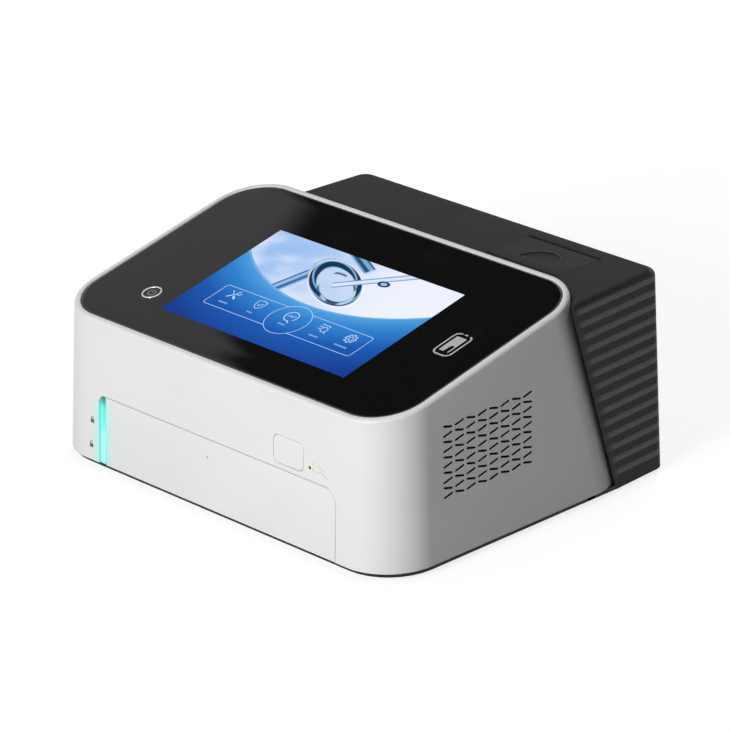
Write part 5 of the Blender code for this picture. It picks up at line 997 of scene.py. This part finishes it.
lensSizes = inMetres({"low": (-110.85, -0.3), "high": (-104.4, 47.05), "corner": 5.75, "plain": 0.3,
                      "dome": ((0, 5), (0, 2.1), (0.12, 1.6), (0.45, 1.15), (1.0, 0.85), (1.8, 0.7), (2.6, 0.65))})
seamShadeSizes = inMetres({"top": 47.2, "side": 114.68, "bend": 10.3, "left": -104.0, "foot": 0.3, "width": 0.34,
                      "deep": (0.5, 2.6)})
lampSizes = inMetres({"centre": (90.9, 55.7), "lens": ((0.8, 10), (0.8, 3), (1.12, 2.4), (1.12, 0.2), (0.952, 0.04),
                                                       (0.504, -0.04))}) | {"steps": 28}


def buildLens():
    d = lensSizes
    (x0, z0), (x1, z1) = d["low"], d["high"]
    rings = []
    for inset, inward in d["dome"]:
        radii = (d["plain"], d["plain"], d["plain"], d["corner"] - inset)
        loop = roundedLoop((x0 + inset, z0 + inset), (x1 - inset, z1 - inset), radii, 12)
        rings.append([onFront(x, up, inward) for x, up in loop])
    lens = addPiece("stripLens", lofted(rings), "light_guide", "base", angle=50)
    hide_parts("light_strip")


def buildSeamShade():
    # A dark strip set back in the drawer's seam: painted shade that darkens the gap.
    d = seamShadeSizes
    bend = sweep(d["side"] - d["bend"], d["top"] - d["bend"], d["bend"], 90, 0, 16)
    path = [(d["left"], d["top"]), *bend, (d["side"], d["foot"])]
    addPiece("drawerSeamShade", stroke(path, d["width"], *d["deep"], onFront), "rubber", "base")


def buildLamp():
    # A small dark lens in the hole beside the key.
    d = lampSizes
    lamp = addPiece("keyLamp", turned(d["lens"], d["steps"], onFront, d["centre"]), "clear_pipe", "base", angle=50)
    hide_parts("status_led")


def lockSign(cx, cz, opened):
    # A padlock about 4 mm high beside the light strip.
    body = [(-1.7, -2.0), (1.7, -2.0), (1.7, 0.55), (-1.7, 0.55)]
    shackle = [(-1.0, 0.5)] + sweep(0, 1.1, 1.0, 180, 20 if opened else 0, 10) + ([] if opened else [(1.0, 0.5)])
    low, high = -frontSizes["ink"], frontSizes["signDeep"]
    return [prism(shifted(body, cx, cz), low, high, onFront),
            stroke(shifted(shackle, cx, cz), frontSizes["sign"], low, high, onFront)]


buildDrawerFront()
buildKey()
buildLens()
buildSeamShade()
buildLamp()
addPiece("lockSigns", joined(lockSign(-117.6, 27.9, False) + lockSign(-118.6, 10.8, True)),
         printInk("signInk", 0.085), "base", "white_abs")
print("power button, drawer front and key built")


# lane numbers on the drawer's tray

laneSizes = {"first": -85.4, "pitch": 25.85, "y": -108.5, "line": 0.6 * mm, "high": (23.8 * mm, 24.04 * mm)}
digitSpots = {"a": (-1.1, 2), "b": (1.1, 2), "c": (-1.1, 0), "d": (1.1, 0), "e": (-1.1, -2), "f": (1.1, -2),
              "g": (1.1, -0.3), "j": (-0.8, 0), "k": (0.8, 0), "t": (0, 2), "u": (0, -2)}
digitWays = "ut", "abdcef", "abfe ck", "ack bf", "bacdfe", "baefdj", "abf", "cdbaefg"


def buildLaneNumbers():
    d = laneSizes
    strokes = []
    for n, ways in enumerate(digitWays):
        for way in ways.split():
            path = shifted([digitSpots[spot] for spot in way], d["first"] + d["pitch"] * n, d["y"])
            strokes.append(stroke(path, d["line"], *d["high"], level))
    addPiece("laneNumbers", joined(strokes), printInk("laneInk", 0.75), "drawer", "grey_nylon")


buildLaneNumbers()


# rear housing: tapered box with a sawtooth of ribs on both sides

rearSizes = inMetres({
    "left": -117, "right": 157.4, "back": 125.25, "frontLow": 85.35, "frontHigh": 47.95, "low": 2.5, "top": 138.7,
    "cadFillet": 3, "fillet": 4.6, "sideDraft": 1.2, "backDraft": 2, "frontCorner": 4, "backCorner": 10, "wall": 2.6,
    "gap": 0.3, "wrapLow": 74.9, "wrapHigh": 36.9, "wrapCorner": 0.7, "lidHole": ((53.6, 68.65), (118.2, 109.75)),
    "lidDeep": (132.1, 146.7), "hinge": (105.75, 133.7), "hingeRoom": 5.3, "mouthDeep": (118.6, 133),
    "mouthCorner": 0.4, "mouths": ((-78, 15.6, 31.8, 7.55), (-50, 15.6, 29.6, 8.3), (-16, 15.6, 28.7, 15.8),
                                   (120, 23.7, 44.3, 14.3), (80, 22.5, 45.5, 8.0)),
    "ventFirst": -60, "ventPitch": 7, "ventHalf": 1.5, "ventCorner": 1.49, "ventHigh": (62, 92), "below": 8,
    "hoodFrom": -5.5, "hoodTo": 16})
rearSizes |= {"taper": math.tan(math.radians(3.7)), "wrapTurn": math.radians(42.3), "steps": 14, "vents": 9}
ribSizes = inMetres({"Pitch": 9.18, "Height": 4, "Return": 0.5, "Depth": 0.9, "Top": 135}) | {"Count": 14.0}


def rearLoop(inset, lift):
    r = rearSizes
    back = r["back"] - r["backDraft"] * lift - inset
    front = r["frontLow"] + (r["frontHigh"] - r["frontLow"]) * lift + inset

    def side(sign, y):
        edge = r["right"] if sign > 0 else r["left"]
        return edge + sign * ((r["back"] - y) * r["taper"] - r["sideDraft"] * lift - inset)

    # On the right the front wall slants forward beside the hood's round corner.
    acrossIn, backIn = math.sin(r["wrapTurn"]), math.cos(r["wrapTurn"])
    tipY = r["wrapLow"] + (r["wrapHigh"] - r["wrapLow"]) * lift
    tipX = side(1, tipY)
    bendX = tipX + inset + (inset - backIn * (front - tipY)) / acrossIn
    tipY += inset * (1 + acrossIn) / backIn
    corners = [(side(-1, front), front, r["frontCorner"]), (bendX, front, r["frontCorner"]),
               (tipX, tipY, r["wrapCorner"]), (side(1, back), back, r["backCorner"]),
               (side(-1, back), back, r["backCorner"])]
    points = []
    for n, (x, y, full) in enumerate(corners):
        radius = max(full - inset, 0.5 * mm)
        here = Vector((x, y))
        before = (Vector(corners[n - 1][:2]) - here).normalized()
        after = (Vector(corners[(n + 1) % len(corners)][:2]) - here).normalized()
        half = before.angle(after) / 2
        middle = here + (before + after).normalized() * radius / math.sin(half)
        start = here + before * radius / math.tan(half) - middle
        end = here + after * radius / math.tan(half) - middle
        turn = start.angle_signed(end)
        for step in range(r["steps"] + 1):
            spin = Matrix.Rotation(-turn * step / r["steps"], 2)
            points.append(tuple(middle + spin @ start))
    return points


def ribTree():
    floats = dict.fromkeys((*ribSizes, "Right", "Left", "Back", "Taper", "Draft", "Low", "High"), "Float")
    t = Grower("sideRibs", {**floats, "Material": "Material"})
    x, y, z = t.node("GeometryNodeInputPosition").parts()
    below = t.given("Top") + t.given("Return") - z
    number = (below / t.given("Pitch")).maths("FLOOR")
    down = below - number * t.given("Pitch")
    rise = down / t.given("Return")
    fall = 1 - (down - t.given("Return")) / t.given("Height")
    depth = rise.least(fall).most(0) * t.given("Depth") * (number > -0.5) * (number < t.given("Count") - 0.5)
    lift = (z - t.given("Low")) / (t.given("High") - t.given("Low"))
    reach = (t.given("Back") - y) * t.given("Taper") - t.given("Draft") * lift - depth
    clamped = x.least(t.given("Right") + reach).most(t.given("Left") - reach)
    spot = t.node("ShaderNodeCombineXYZ", None, {"X": clamped, "Y": y, "Z": z})
    placed = t.node("GeometryNodeSetPosition", None, {"Geometry": t.given("Geometry"), "Position": spot})
    return t.close(placed)


def ribbedCharcoal():
    # As the plain charcoal, with painted light on the flanks and the ribs' upward facets and a painted highlight
    # round the top's rear edge; smoother and coated on the ribs' facets.
    look = Finish("ribbedCharcoal", (0.03, 0.03, 0.031), 0.5, IOR=1.5, Specular_IOR_Level=0.05, Coat_Roughness=0.4)
    r = rearSizes
    x, y, z = look.place.parts()
    below = (ribSizes["Top"] + ribSizes["Return"] - z) / ribSizes["Pitch"]
    down = (below - below.maths("FLOOR")) * ribSizes["Pitch"]
    facet = (down > 0.45 * mm) * (down < 4.1 * mm) * (below > 0) * (below < 14)
    nx, ny, nz = look.place.node("ShaderNodeNewGeometry", None, None, "Normal").parts()
    lift = (z - r["low"]) / (r["top"] - r["low"])
    tip = lift * (r["wrapHigh"] - r["wrapLow"]) + r["wrapLow"]
    facet = facet * abs(nx).step(0.8, 0.98) * (y - tip).step(0.5 * mm, 9 * mm)
    grain = look.noise(1900, 3, 0.65)
    plain = look.mottle(30, 4, grey(0.022, 1.023), grey(0.027, 1.03))
    # painted light: the flanks coloured lighter than the top
    plain = (abs(nx).step(0.8, 0.98) * 0.8).blend(plain, grey(0.098, 1.02))
    # painted highlight: a lighter band along the top's rounded rear edge
    band = ny.step(0.03, 0.2) * ny.step(0.52, 0.38) * (nz > 0.5)
    plain = band.blend(plain, grey(0.075, 1.013))
    # painted light: the ribs' upward facets coloured lighter than the rest
    look.set("Base Color", facet.blend(plain, grey(0.098, 1.02)))
    look.set("Coat Weight", facet * 0.55 + band * 0.12)
    look.set("Roughness", facet.spread(0.52, 0.42) + grain * 0.08)
    look.relief(grain + look.cells(1500) * 0.5, 0.00005, 0.5, 0.4 * mm)
    return look.material


def buildRearHousing():
    r = rearSizes
    heights = [r["low"]]
    for n in range(int(ribSizes["Count"])):
        top = ribSizes["Top"] - (ribSizes["Count"] - 1 - n) * ribSizes["Pitch"]
        low = top - ribSizes["Height"]
        heights += [low - 0.3 * mm, low, low + ribSizes["Height"] / 2, top, top + ribSizes["Return"]]
    heights = sorted(h for h in heights if h < r["top"] - r["fillet"] - 0.2 * mm)
    spread = r["top"] - r["cadFillet"] - r["low"]
    rings = [[(x, y, h) for x, y in rearLoop(0, (h - r["low"]) / spread)] for h in heights]
    for cosine, sine in quarter(10, 0):
        h = r["top"] - r["fillet"] + r["fillet"] * sine
        lift = min((h - r["low"]) / spread, 1)
        rings.append([(x, y, h) for x, y in rearLoop(r["fillet"] * (1 - cosine), lift)])
    base = bpy.data.meshes.new("rearShellBase")
    outer = lofted(rings)
    outer.to_mesh(base)
    outer.free()
    finish = ribbedCharcoal()
    given = {**ribSizes, "Right": r["right"], "Left": r["left"], "Back": r["back"], "Taper": r["taper"],
             "Draft": r["sideDraft"], "Low": r["low"], "High": r["top"] - r["cadFillet"], "Material": finish}
    shell = grown("rearShell", ribTree(), given, finish, base=base)
    inside = [[(x, y, h) for x, y in rearLoop(r["wall"], lift)] for h, lift in
              ((r["low"] - r["below"], 0), (r["low"], 0), (r["top"] - r["wall"], 1))]
    carve(shell, lofted(inside))
    edge = hoodSizes["fillet"] - hoodSizes["crest"]
    gap = r["gap"]
    envelope = [[(x, y - rear, h) for x, y in footLoop(gap)] for h in (r["hoodFrom"], hoodSizes["bottom"])]
    envelope += [[onGlass(x, s, above) for x, s in rimLoop(gap)] for above in (-edge, r["hoodTo"])]
    carve(shell, lofted(envelope))
    across = r["lidHole"]
    carve(shell, prism(roundedLoop(*across, 0, 0), *r["lidDeep"], level))
    carve(shell, prism(ring(r["hingeRoom"], 64, r["hinge"]), across[0][0], across[1][0], onSide))
    mouths = [roundedLoop((x - half, low), (x + half, high), r["mouthCorner"], 3)
              for x, low, high, half in r["mouths"]]
    low, high = r["ventHigh"]
    for n in range(r["vents"]):
        x = r["ventFirst"] + n * r["ventPitch"]
        mouths.append(roundedLoop((x - r["ventHalf"], low), (x + r["ventHalf"], high), r["ventCorner"], 7))
    holes = [prism(outline, *r["mouthDeep"], onBack) for outline in mouths]
    holes += [prism(ring(screwSizes["bore"], 32, spot), *screwSizes["boreDeep"], onRear)
              for spot in screwSizes["spots"]]
    carve(shell, joined(holes))
    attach(shell, "base")
    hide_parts("rear_housing")
    return shell


screwSizes = inMetres({"spots": ((-104, 15), (-104, 122), (22, 122), (143, 122), (145, 14), (22, 14)), "bore": 3.3,
                       "boreDeep": (-1.3, 5), "head": ((2.7, -1.5), (2.7, -0.8), (2.35, -0.4), (1.4, -0.2)),
                       "arm": ((0.3, 1.6), (0.3, 0.3), (1.6, 0.3)), "armDeep": (-0.9, 1)})
screwSizes |= {"turns": (0.3, 1.0, 0.6, 0.1, 0.8, 1.2), "steps": 32}


def onRear(u, v, w):
    r = rearSizes
    return (u, r["back"] - r["backDraft"] * (v - r["low"]) / (r["top"] - r["cadFillet"] - r["low"]) + w, v)


reachSizes = inMetres({"outline": ((150, 50), (160.4, 50), (160.4, 76.5), (149.6, 86.4), (138, 86.4)),
                       "high": (2.5, 5.4)})


def buildBaseReach():
    # The base's side runs on straight to the rear housing, under the hood's round corner.
    addPiece("baseReach", prism(reachSizes["outline"], *reachSizes["high"], level), "black_base", "base")


rearShell = buildRearHousing()
buildBaseReach()
print("rear housing built:", len(rearShell.data.polygons), "faces")


# printer lid with a shallow D grip, on its barrel

lidSizes = inMetres({"hinge": (85.9, 105.75, 133.7), "half": 32, "length": 36.1, "round": 5, "thick": 2.6,
                     "edge": 0.5, "barrel": 2.9, "barrelHalf": 29, "grip": (1.45, -26.1), "gripHalf": 14.75,
                     "gripLength": 18, "gripDepth": 1.0, "wall": 1.2, "platen": (-28.9, -4.3), "bore": 1.55,
                     "ear": 3.4, "earRear": 5.8, "earFoot": 2.4, "earIn": 1, "earThick": 2, "lap": 0.5,
                     "highlightStroke": 0.3, "highlightProud": 0.02})


def buildLid():
    d = lidSizes
    hx, hy, hz = d["hinge"]

    def across(u, v, w):
        return (hx + w, hy + u, hz + v)

    def flat(u, v, w):
        return (hx + u, hy + v, hz + w)

    under = d["round"] - d["thick"]
    start = math.degrees(math.asin(under / d["round"]))
    front = -d["length"]
    e = d["edge"]
    top = d["round"]
    profile = [(front, under), *sweep(0, 0, top, start, 90, 14), *sweep(front + e, top - e, e, 90, 180, 6)]
    lid = addPiece("paperLid", prism(profile, -d["half"], d["half"], across), finishes["charcoal_abs"])
    carve(lid, prism(ring(d["barrel"], 40), -d["barrelHalf"], d["barrelHalf"], across), "UNION")

    def grip(grow):
        cx, cy = d["grip"]
        return [(cx + (d["gripHalf"] + grow) * math.cos(math.pi * n / 48),
                 cy - grow + (d["gripLength"] + 2 * grow) * math.sin(math.pi * n / 48)) for n in range(49)]

    bowl = [[flat(x, y, top - d["gripDepth"] - d["wall"] - 1.0 * mm) for x, y in grip(-1 * mm)],
            [flat(x, y, under + d["lap"]) for x, y in grip(1 * mm)]]
    carve(lid, lofted(bowl), "UNION")
    well = []
    for cosine, sine in quarter(6, 0):
        outline = grip(-1.1 * mm * (1 - sine))
        well.append([flat(x, y, top - d["gripDepth"] * cosine) for x, y in outline])
    well.append([flat(x, y, top + 1 * mm) for x, y in grip(0)])
    carve(lid, lofted(well))
    py, pz = d["platen"]
    ear, foot = d["ear"], under + d["lap"]
    outline = [(py - ear, pz), *sweep(py, pz, ear, 195, 345, 10), (py + ear, pz), (py + d["earRear"], foot),
               (py - ear, foot)]
    outline = [(u, max(v, pz - d["earFoot"])) for u, v in outline]
    ears = []
    for sign in (-1, 1):
        outer = sign * (d["half"] - d["earIn"])
        ears.append(prism(outline, *sorted((outer, outer - sign * d["earThick"])), across))
    carve(lid, joined(ears), "UNION")
    bores = [prism(ring(d["bore"], 24, centre), -d["half"] - 2 * mm, d["half"] + 2 * mm, across)
             for centre in ((0, 0), (py, pz))]
    carve(lid, joined(bores))
    # painted highlight: a thin lighter charcoal line round the grip's rim stands for the light its edge catches
    highlightStroke = stroke(grip(0.1 * mm), d["highlightStroke"], top - d["lap"], top + d["highlightProud"], flat, True)
    addPiece("gripHighlight", highlightStroke, sparkCharcoal("highlightCharcoal", 0.1), "cover", "charcoal_abs")
    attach(lid, "cover")
    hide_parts("printer_cover")


buildLid()
print("printer lid built")


# sockets, switch marks, screws and a plain label on the back

def goldLeaf():
    look = Finish("gold", (0.83, 0.6, 0.25), 0.25, Metallic=1.0)
    look.set("Base Color", look.noise(700, 2).blend(rgb(0.78, 0.55, 0.2), rgb(0.88, 0.66, 0.3)))
    look.set("Roughness", look.noise(900, 2).spread(0.2, 0.35))
    return look.material


def block(low, high):
    # A plain box between two corners given in millimetres.
    (x0, y0, z0), (x1, y1, z1) = low, high
    return prism(shifted([(x0, y0), (x1, y0), (x1, y1), (x0, y1)]), z0 * mm, z1 * mm, level)


def peg(radius, steps, x, z, low, high, start=0.0):
    # A round or many-sided pin out of the back, given in millimetres.
    return prism(ring(radius * mm, steps, (x * mm, z * mm), start), low * mm, high * mm, onBack)


socketSizes = {"usb": (17.1, 24.7), "usbX": -78, "usbPitch": 2.4, "netX": -50, "netPitch": 1.02, "netWire": 0.16,
               "wire": ((112.6, 25.2), (121.4, 25.9), (121.8, 25.3), (115.2, 21.8)), "serial": (-16, 22.15),
               "shell": ((-6.8, -3.2), (6.8, -3.2), (7.3, -2.6), (8.0, 2.6), (7.5, 3.3), (-7.5, 3.3), (-8.0, 2.6),
                         (-7.3, -2.6)), "pinPitch": 2.77, "pinRow": 1.42, "nutX": 12.5, "lightX": (-57.0, -45.8),
               "inlet": ((113, 31), (120, 37), (127, 31)), "blade": (1.12, 2.12)}


def buildSockets():
    d = socketSizes
    tongues, contacts = [], []
    for low in d["usb"]:
        tongues.append(block((d["usbX"] - 5.1, 111.6, low + 2.9), (d["usbX"] + 5.1, 122.3, low + 4.5)))
        for n in range(4):
            x = d["usbX"] + d["usbPitch"] * (n - 1.5)
            contacts.append(block((x - 0.5, 113, low + 2.8), (x + 0.5, 121.8, low + 3)))
    half = d["netWire"]
    for n in range(8):
        x = d["netX"] + d["netPitch"] * (n - 3.5)
        contacts.append(stroke(shifted(d["wire"]), 2 * half * mm, (x - half) * mm, (x + half) * mm, onSide))
    cx, cz = d["serial"]
    tongues.append(prism(shifted(d["shell"], cx, cz), 123.6 * mm, 124.6 * mm, onBack))
    plastic = addPiece("socketTongues", joined(tongues), "black_nylon", "base")
    spots = [(cx + d["pinPitch"] * (n - (count - 1) / 2), cz + side * d["pinRow"])
             for count, side in ((5, 1), (4, -1)) for n in range(count)]
    carve(plastic, joined([peg(0.6, 16, x, z, 123.95, 126) for x, z in spots]))
    contacts += [peg(0.45, 14, x, z, 123.9, 124.1) for x, z in spots]
    addPiece("goldContacts", joined(contacts), goldLeaf(), "base", "brushed_steel")
    ends = cx - d["nutX"], cx + d["nutX"]
    nuts = joined([peg(2.4, 6, x, cz, 123.6, 124.9, 0.2) for x in ends])
    jack = addPiece("jackNuts", nuts, "brushed_steel", "base")
    carve(jack, joined([peg(1.3, 24, x, cz, 124, 126) for x in ends]))
    inks = (("linkLight", "linkGreen", screen(96, 214, 96)), ("busyLight", "busyAmber", screen(240, 170, 60)))
    for x, (name, ink, colour) in zip(d["lightX"], inks):
        addPiece(name, block((x, 123.6, 27.2), (x + 2.8, 124, 28.7)), screenInk(ink, colour), "base", "clear_pipe")


def buildInletPins():
    # Metal blades over the inlet's three moulded pins.
    half, tall = socketSizes["blade"]
    blades = [block((x - half, 107, z - tall), (x + half, 118.2, z + tall)) for x, z in socketSizes["inlet"]]
    addPiece("inletBlades", joined(blades), "brushed_steel", "base")


rockerSizes = {"x": 80, "on": 39.6, "off": 29.2, "line": 0.6 * mm, "low": -0.1 * mm, "high": 0.04 * mm}


def buildRockerMarks():
    # Printed on and off marks that lie on the rocker's bent face.
    d = rockerSizes
    rocker = nodes["power_rocker"]
    corners = [rocker.matrix_world @ vertex.co for vertex in rocker.data.vertices]
    skin = BVHTree.FromPolygons(corners, [list(face.vertices) for face in rocker.data.polygons])

    def onSkin(u, v, w):
        hit = skin.ray_cast(Vector((u, 0.2, v)), Vector((0, -1, 0)))[0]
        return (u, hit.y + w, v)

    bar = shifted([(0, -1.9), (0, -0.6), (0, 0.6), (0, 1.9)], d["x"], d["on"])
    circle = shifted(sweep(0, 0, 1.7, 0, 345, 23), d["x"], d["off"])
    marks = [stroke(path, d["line"], d["low"], d["high"], onSkin, path is circle) for path in (bar, circle)]
    addPiece("rockerMarks", joined(marks), printInk("markInk", 0.6), "rocker", "black_nylon")


def buildScrews():
    d = screwSizes
    heads, crosses = [], []
    for (x, z), start in zip(d["spots"], d["turns"]):
        heads.append(turned(d["head"], d["steps"], onRear, (x, z)))
        cross = []
        for n in range(4):
            sine, cosine = math.sin(start - n * math.pi / 2), math.cos(start - n * math.pi / 2)
            cross += [(x + a * cosine - b * sine, z + a * sine + b * cosine) for a, b in d["arm"]]
        crosses.append(prism(cross, *d["armDeep"], onRear))
    screws = addPiece("caseScrews", joined(heads), "brushed_steel", "base")
    carve(screws, joined(crosses))


labelSizes = {"sheet": ((34, 60), (92, 94), 1.5), "left": 40, "bars": ((88.6, 26, 1.8), (83.4, 44, 0.9),
              (80.4, 38, 0.9), (77.4, 42, 0.9), (74.4, 30, 0.9)), "code": (66, 1.3, 0.25), "codeHigh": (63.5, 70),
              "codeLines": 15, "thin": 0.35, "back": -0.3 * mm, "high": 0.05 * mm, "ink": (-0.1 * mm, 0.1 * mm)}


def buildLabel():
    # Bare bars stand where a rating label has its words.
    d = labelSizes
    sheet = prism(shifted(roundedLoop(*d["sheet"], 6)), d["back"], d["high"], onRear)
    addPiece("backLabel", sheet, printInk("labelGrey", 0.45, 0.5), "base", "charcoal_abs")
    strips = [([(d["left"], z), (d["left"] + long, z)], tall) for z, long, tall in d["bars"]]
    first, pitch, jitter = d["code"]
    for n in range(d["codeLines"]):
        x = first + pitch * n + jitter * (n % 3)
        strips.append(([(x, z) for z in d["codeHigh"]], d["thin"] + jitter * (n % 2)))
    lines = [stroke(shifted(path), width * mm, *d["ink"], onRear) for path, width in strips]
    addPiece("labelBars", joined(lines), printInk("labelInk", 0.02, 0.5), "base", "charcoal_abs")


buildSockets()
buildInletPins()
buildRockerMarks()
buildScrews()
buildLabel()
print("back details built")


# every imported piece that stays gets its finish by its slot

slotOf = {piece["node"]: piece["material_slot"] for piece in frame["record"]["subparts"]}
for name, node in nodes.items():
    if slotOf[name] in finishes:
        node.data.materials.clear()
        node.data.materials.append(finishes[slotOf[name]])


# floor, world and lamps

def stageRoom():
    sky = bpy.data.worlds.new("room")
    bpy.context.scene.world = sky
    sky.use_nodes = True
    tree = sky.node_tree
    tree.nodes.clear()
    out = tree.nodes.new("ShaderNodeOutputWorld")
    soft, bright = (tree.nodes.new("ShaderNodeBackground") for _ in range(2))
    for light, strength in ((soft, 0.12), (bright, 1.0)):
        light.inputs["Color"].default_value = grey(1)
        light.inputs["Strength"].default_value = strength
    mix = tree.nodes.new("ShaderNodeMixShader")
    path = tree.nodes.new("ShaderNodeLightPath")
    seen = Value(tree, path.outputs["Is Camera Ray"]).most(Value(tree, path.outputs["Is Glossy Ray"])).most(
        Value(tree, path.outputs["Is Transmission Ray"]))
    tree.links.new(seen.out, mix.inputs[0])
    tree.links.new(soft.outputs[0], mix.inputs[1])
    tree.links.new(bright.outputs[0], mix.inputs[2])
    tree.links.new(mix.outputs[0], out.inputs["Surface"])

    shape = bmesh.new()
    bmesh.ops.create_grid(shape, x_segments=2, y_segments=2, size=6)
    ground = Finish("paleFloor", (0.35, 0.35, 0.35), 0.9, Emission_Strength=1.0)
    path = ground.tree.nodes.new("ShaderNodeLightPath")
    seen = Value(ground.tree, path.outputs["Is Camera Ray"]).most(Value(ground.tree, path.outputs["Is Glossy Ray"]))
    x, y, z = ground.place.parts()
    far = x.length(y).step(0.7, 2.2)
    ground.set("Emission Color", seen.blend(grey(0), far.blend(grey(0.8), grey(1))))
    ground.set("Specular IOR Level", 0.0)
    floor = addPiece("floor", shape, ground.material)


def areaLamp(name, place, aim, size, watts):
    light = bpy.data.lights.new(name, "AREA")
    light.shape = "RECTANGLE"
    light.size, light.size_y = size
    light.energy = watts
    lamp = bpy.data.objects.new(name, light)
    lamp.location = place
    lamp.rotation_euler = (Vector(place) - Vector(aim)).to_track_quat("Z", "Y").to_euler()
    bpy.context.scene.collection.objects.link(lamp)
    return lamp


cardSizes = inMetres({"height": 700, "edge": (-110, 151)})
cardSizes |= {"across": range(-300, 301, 60), "along": range(-160, 321, 60), "lean": (0.783, 0.622),
              "soft": (-16, 20)}


def hangCard():
    # A dark card, lit at its left, that the glass mirrors in the main view. It lights nothing.
    d = cardSizes
    eye = bpy.context.scene.camera.matrix_world.translation
    normal = Vector((0, -math.sin(tilt), math.cos(tilt)))
    shape = bmesh.new()
    places = shape.loops.layers.uv.new("UVMap")
    grid = []
    for s in d["along"]:
        row = []
        for x in d["across"]:
            spot = onGlass(x * mm, s * mm, 0)
            ray = (spot - eye).normalized()
            away = ray - normal * (2 * ray.dot(normal))
            row.append(shape.verts.new(spot + away * (d["height"] / away.dot(normal))))
        grid.append(row)
    for j in range(len(grid) - 1):
        for i in range(len(grid[0]) - 1):
            corners = ((i, j), (i + 1, j), (i + 1, j + 1), (i, j + 1))
            face = shape.faces.new([grid[b][a] for a, b in corners])
            for loop, (a, b) in zip(face.loops, corners):
                loop[places].uv = (d["across"][a] * mm, d["along"][b] * mm)
    card = Finish("cardGlow", (0, 0, 0), 1.0, Emission_Strength=1.0, Specular_IOR_Level=0.0)
    u, v, w = card.uv.parts()
    beyond = ((u - d["edge"][0]) * d["lean"][0] + (v - d["edge"][1]) * d["lean"][1]) / mm
    card.set("Emission Color", beyond.step(*d["soft"]).blend(grey(0.44, 1.011), grey(0.035)))
    piece = addPiece("mirrorCard", shape, card.material)
    for ray in ("camera", "diffuse", "shadow", "transmission"):
        setattr(piece, "visible_" + ray, False)


stageRoom()
hangCard()
areaLamp("keySoftbox", (0.38, -2.0, 0.85), (0, -0.05, 0.05), (0.8, 0.8), 39)
areaLamp("topSoftbox", (-0.5, 1.7, 1.9), (0, 0, 0.05), (1.4, 1.4), 22).visible_glossy = False
bpy.context.scene.view_settings.view_transform = "Standard"
print("stage set")
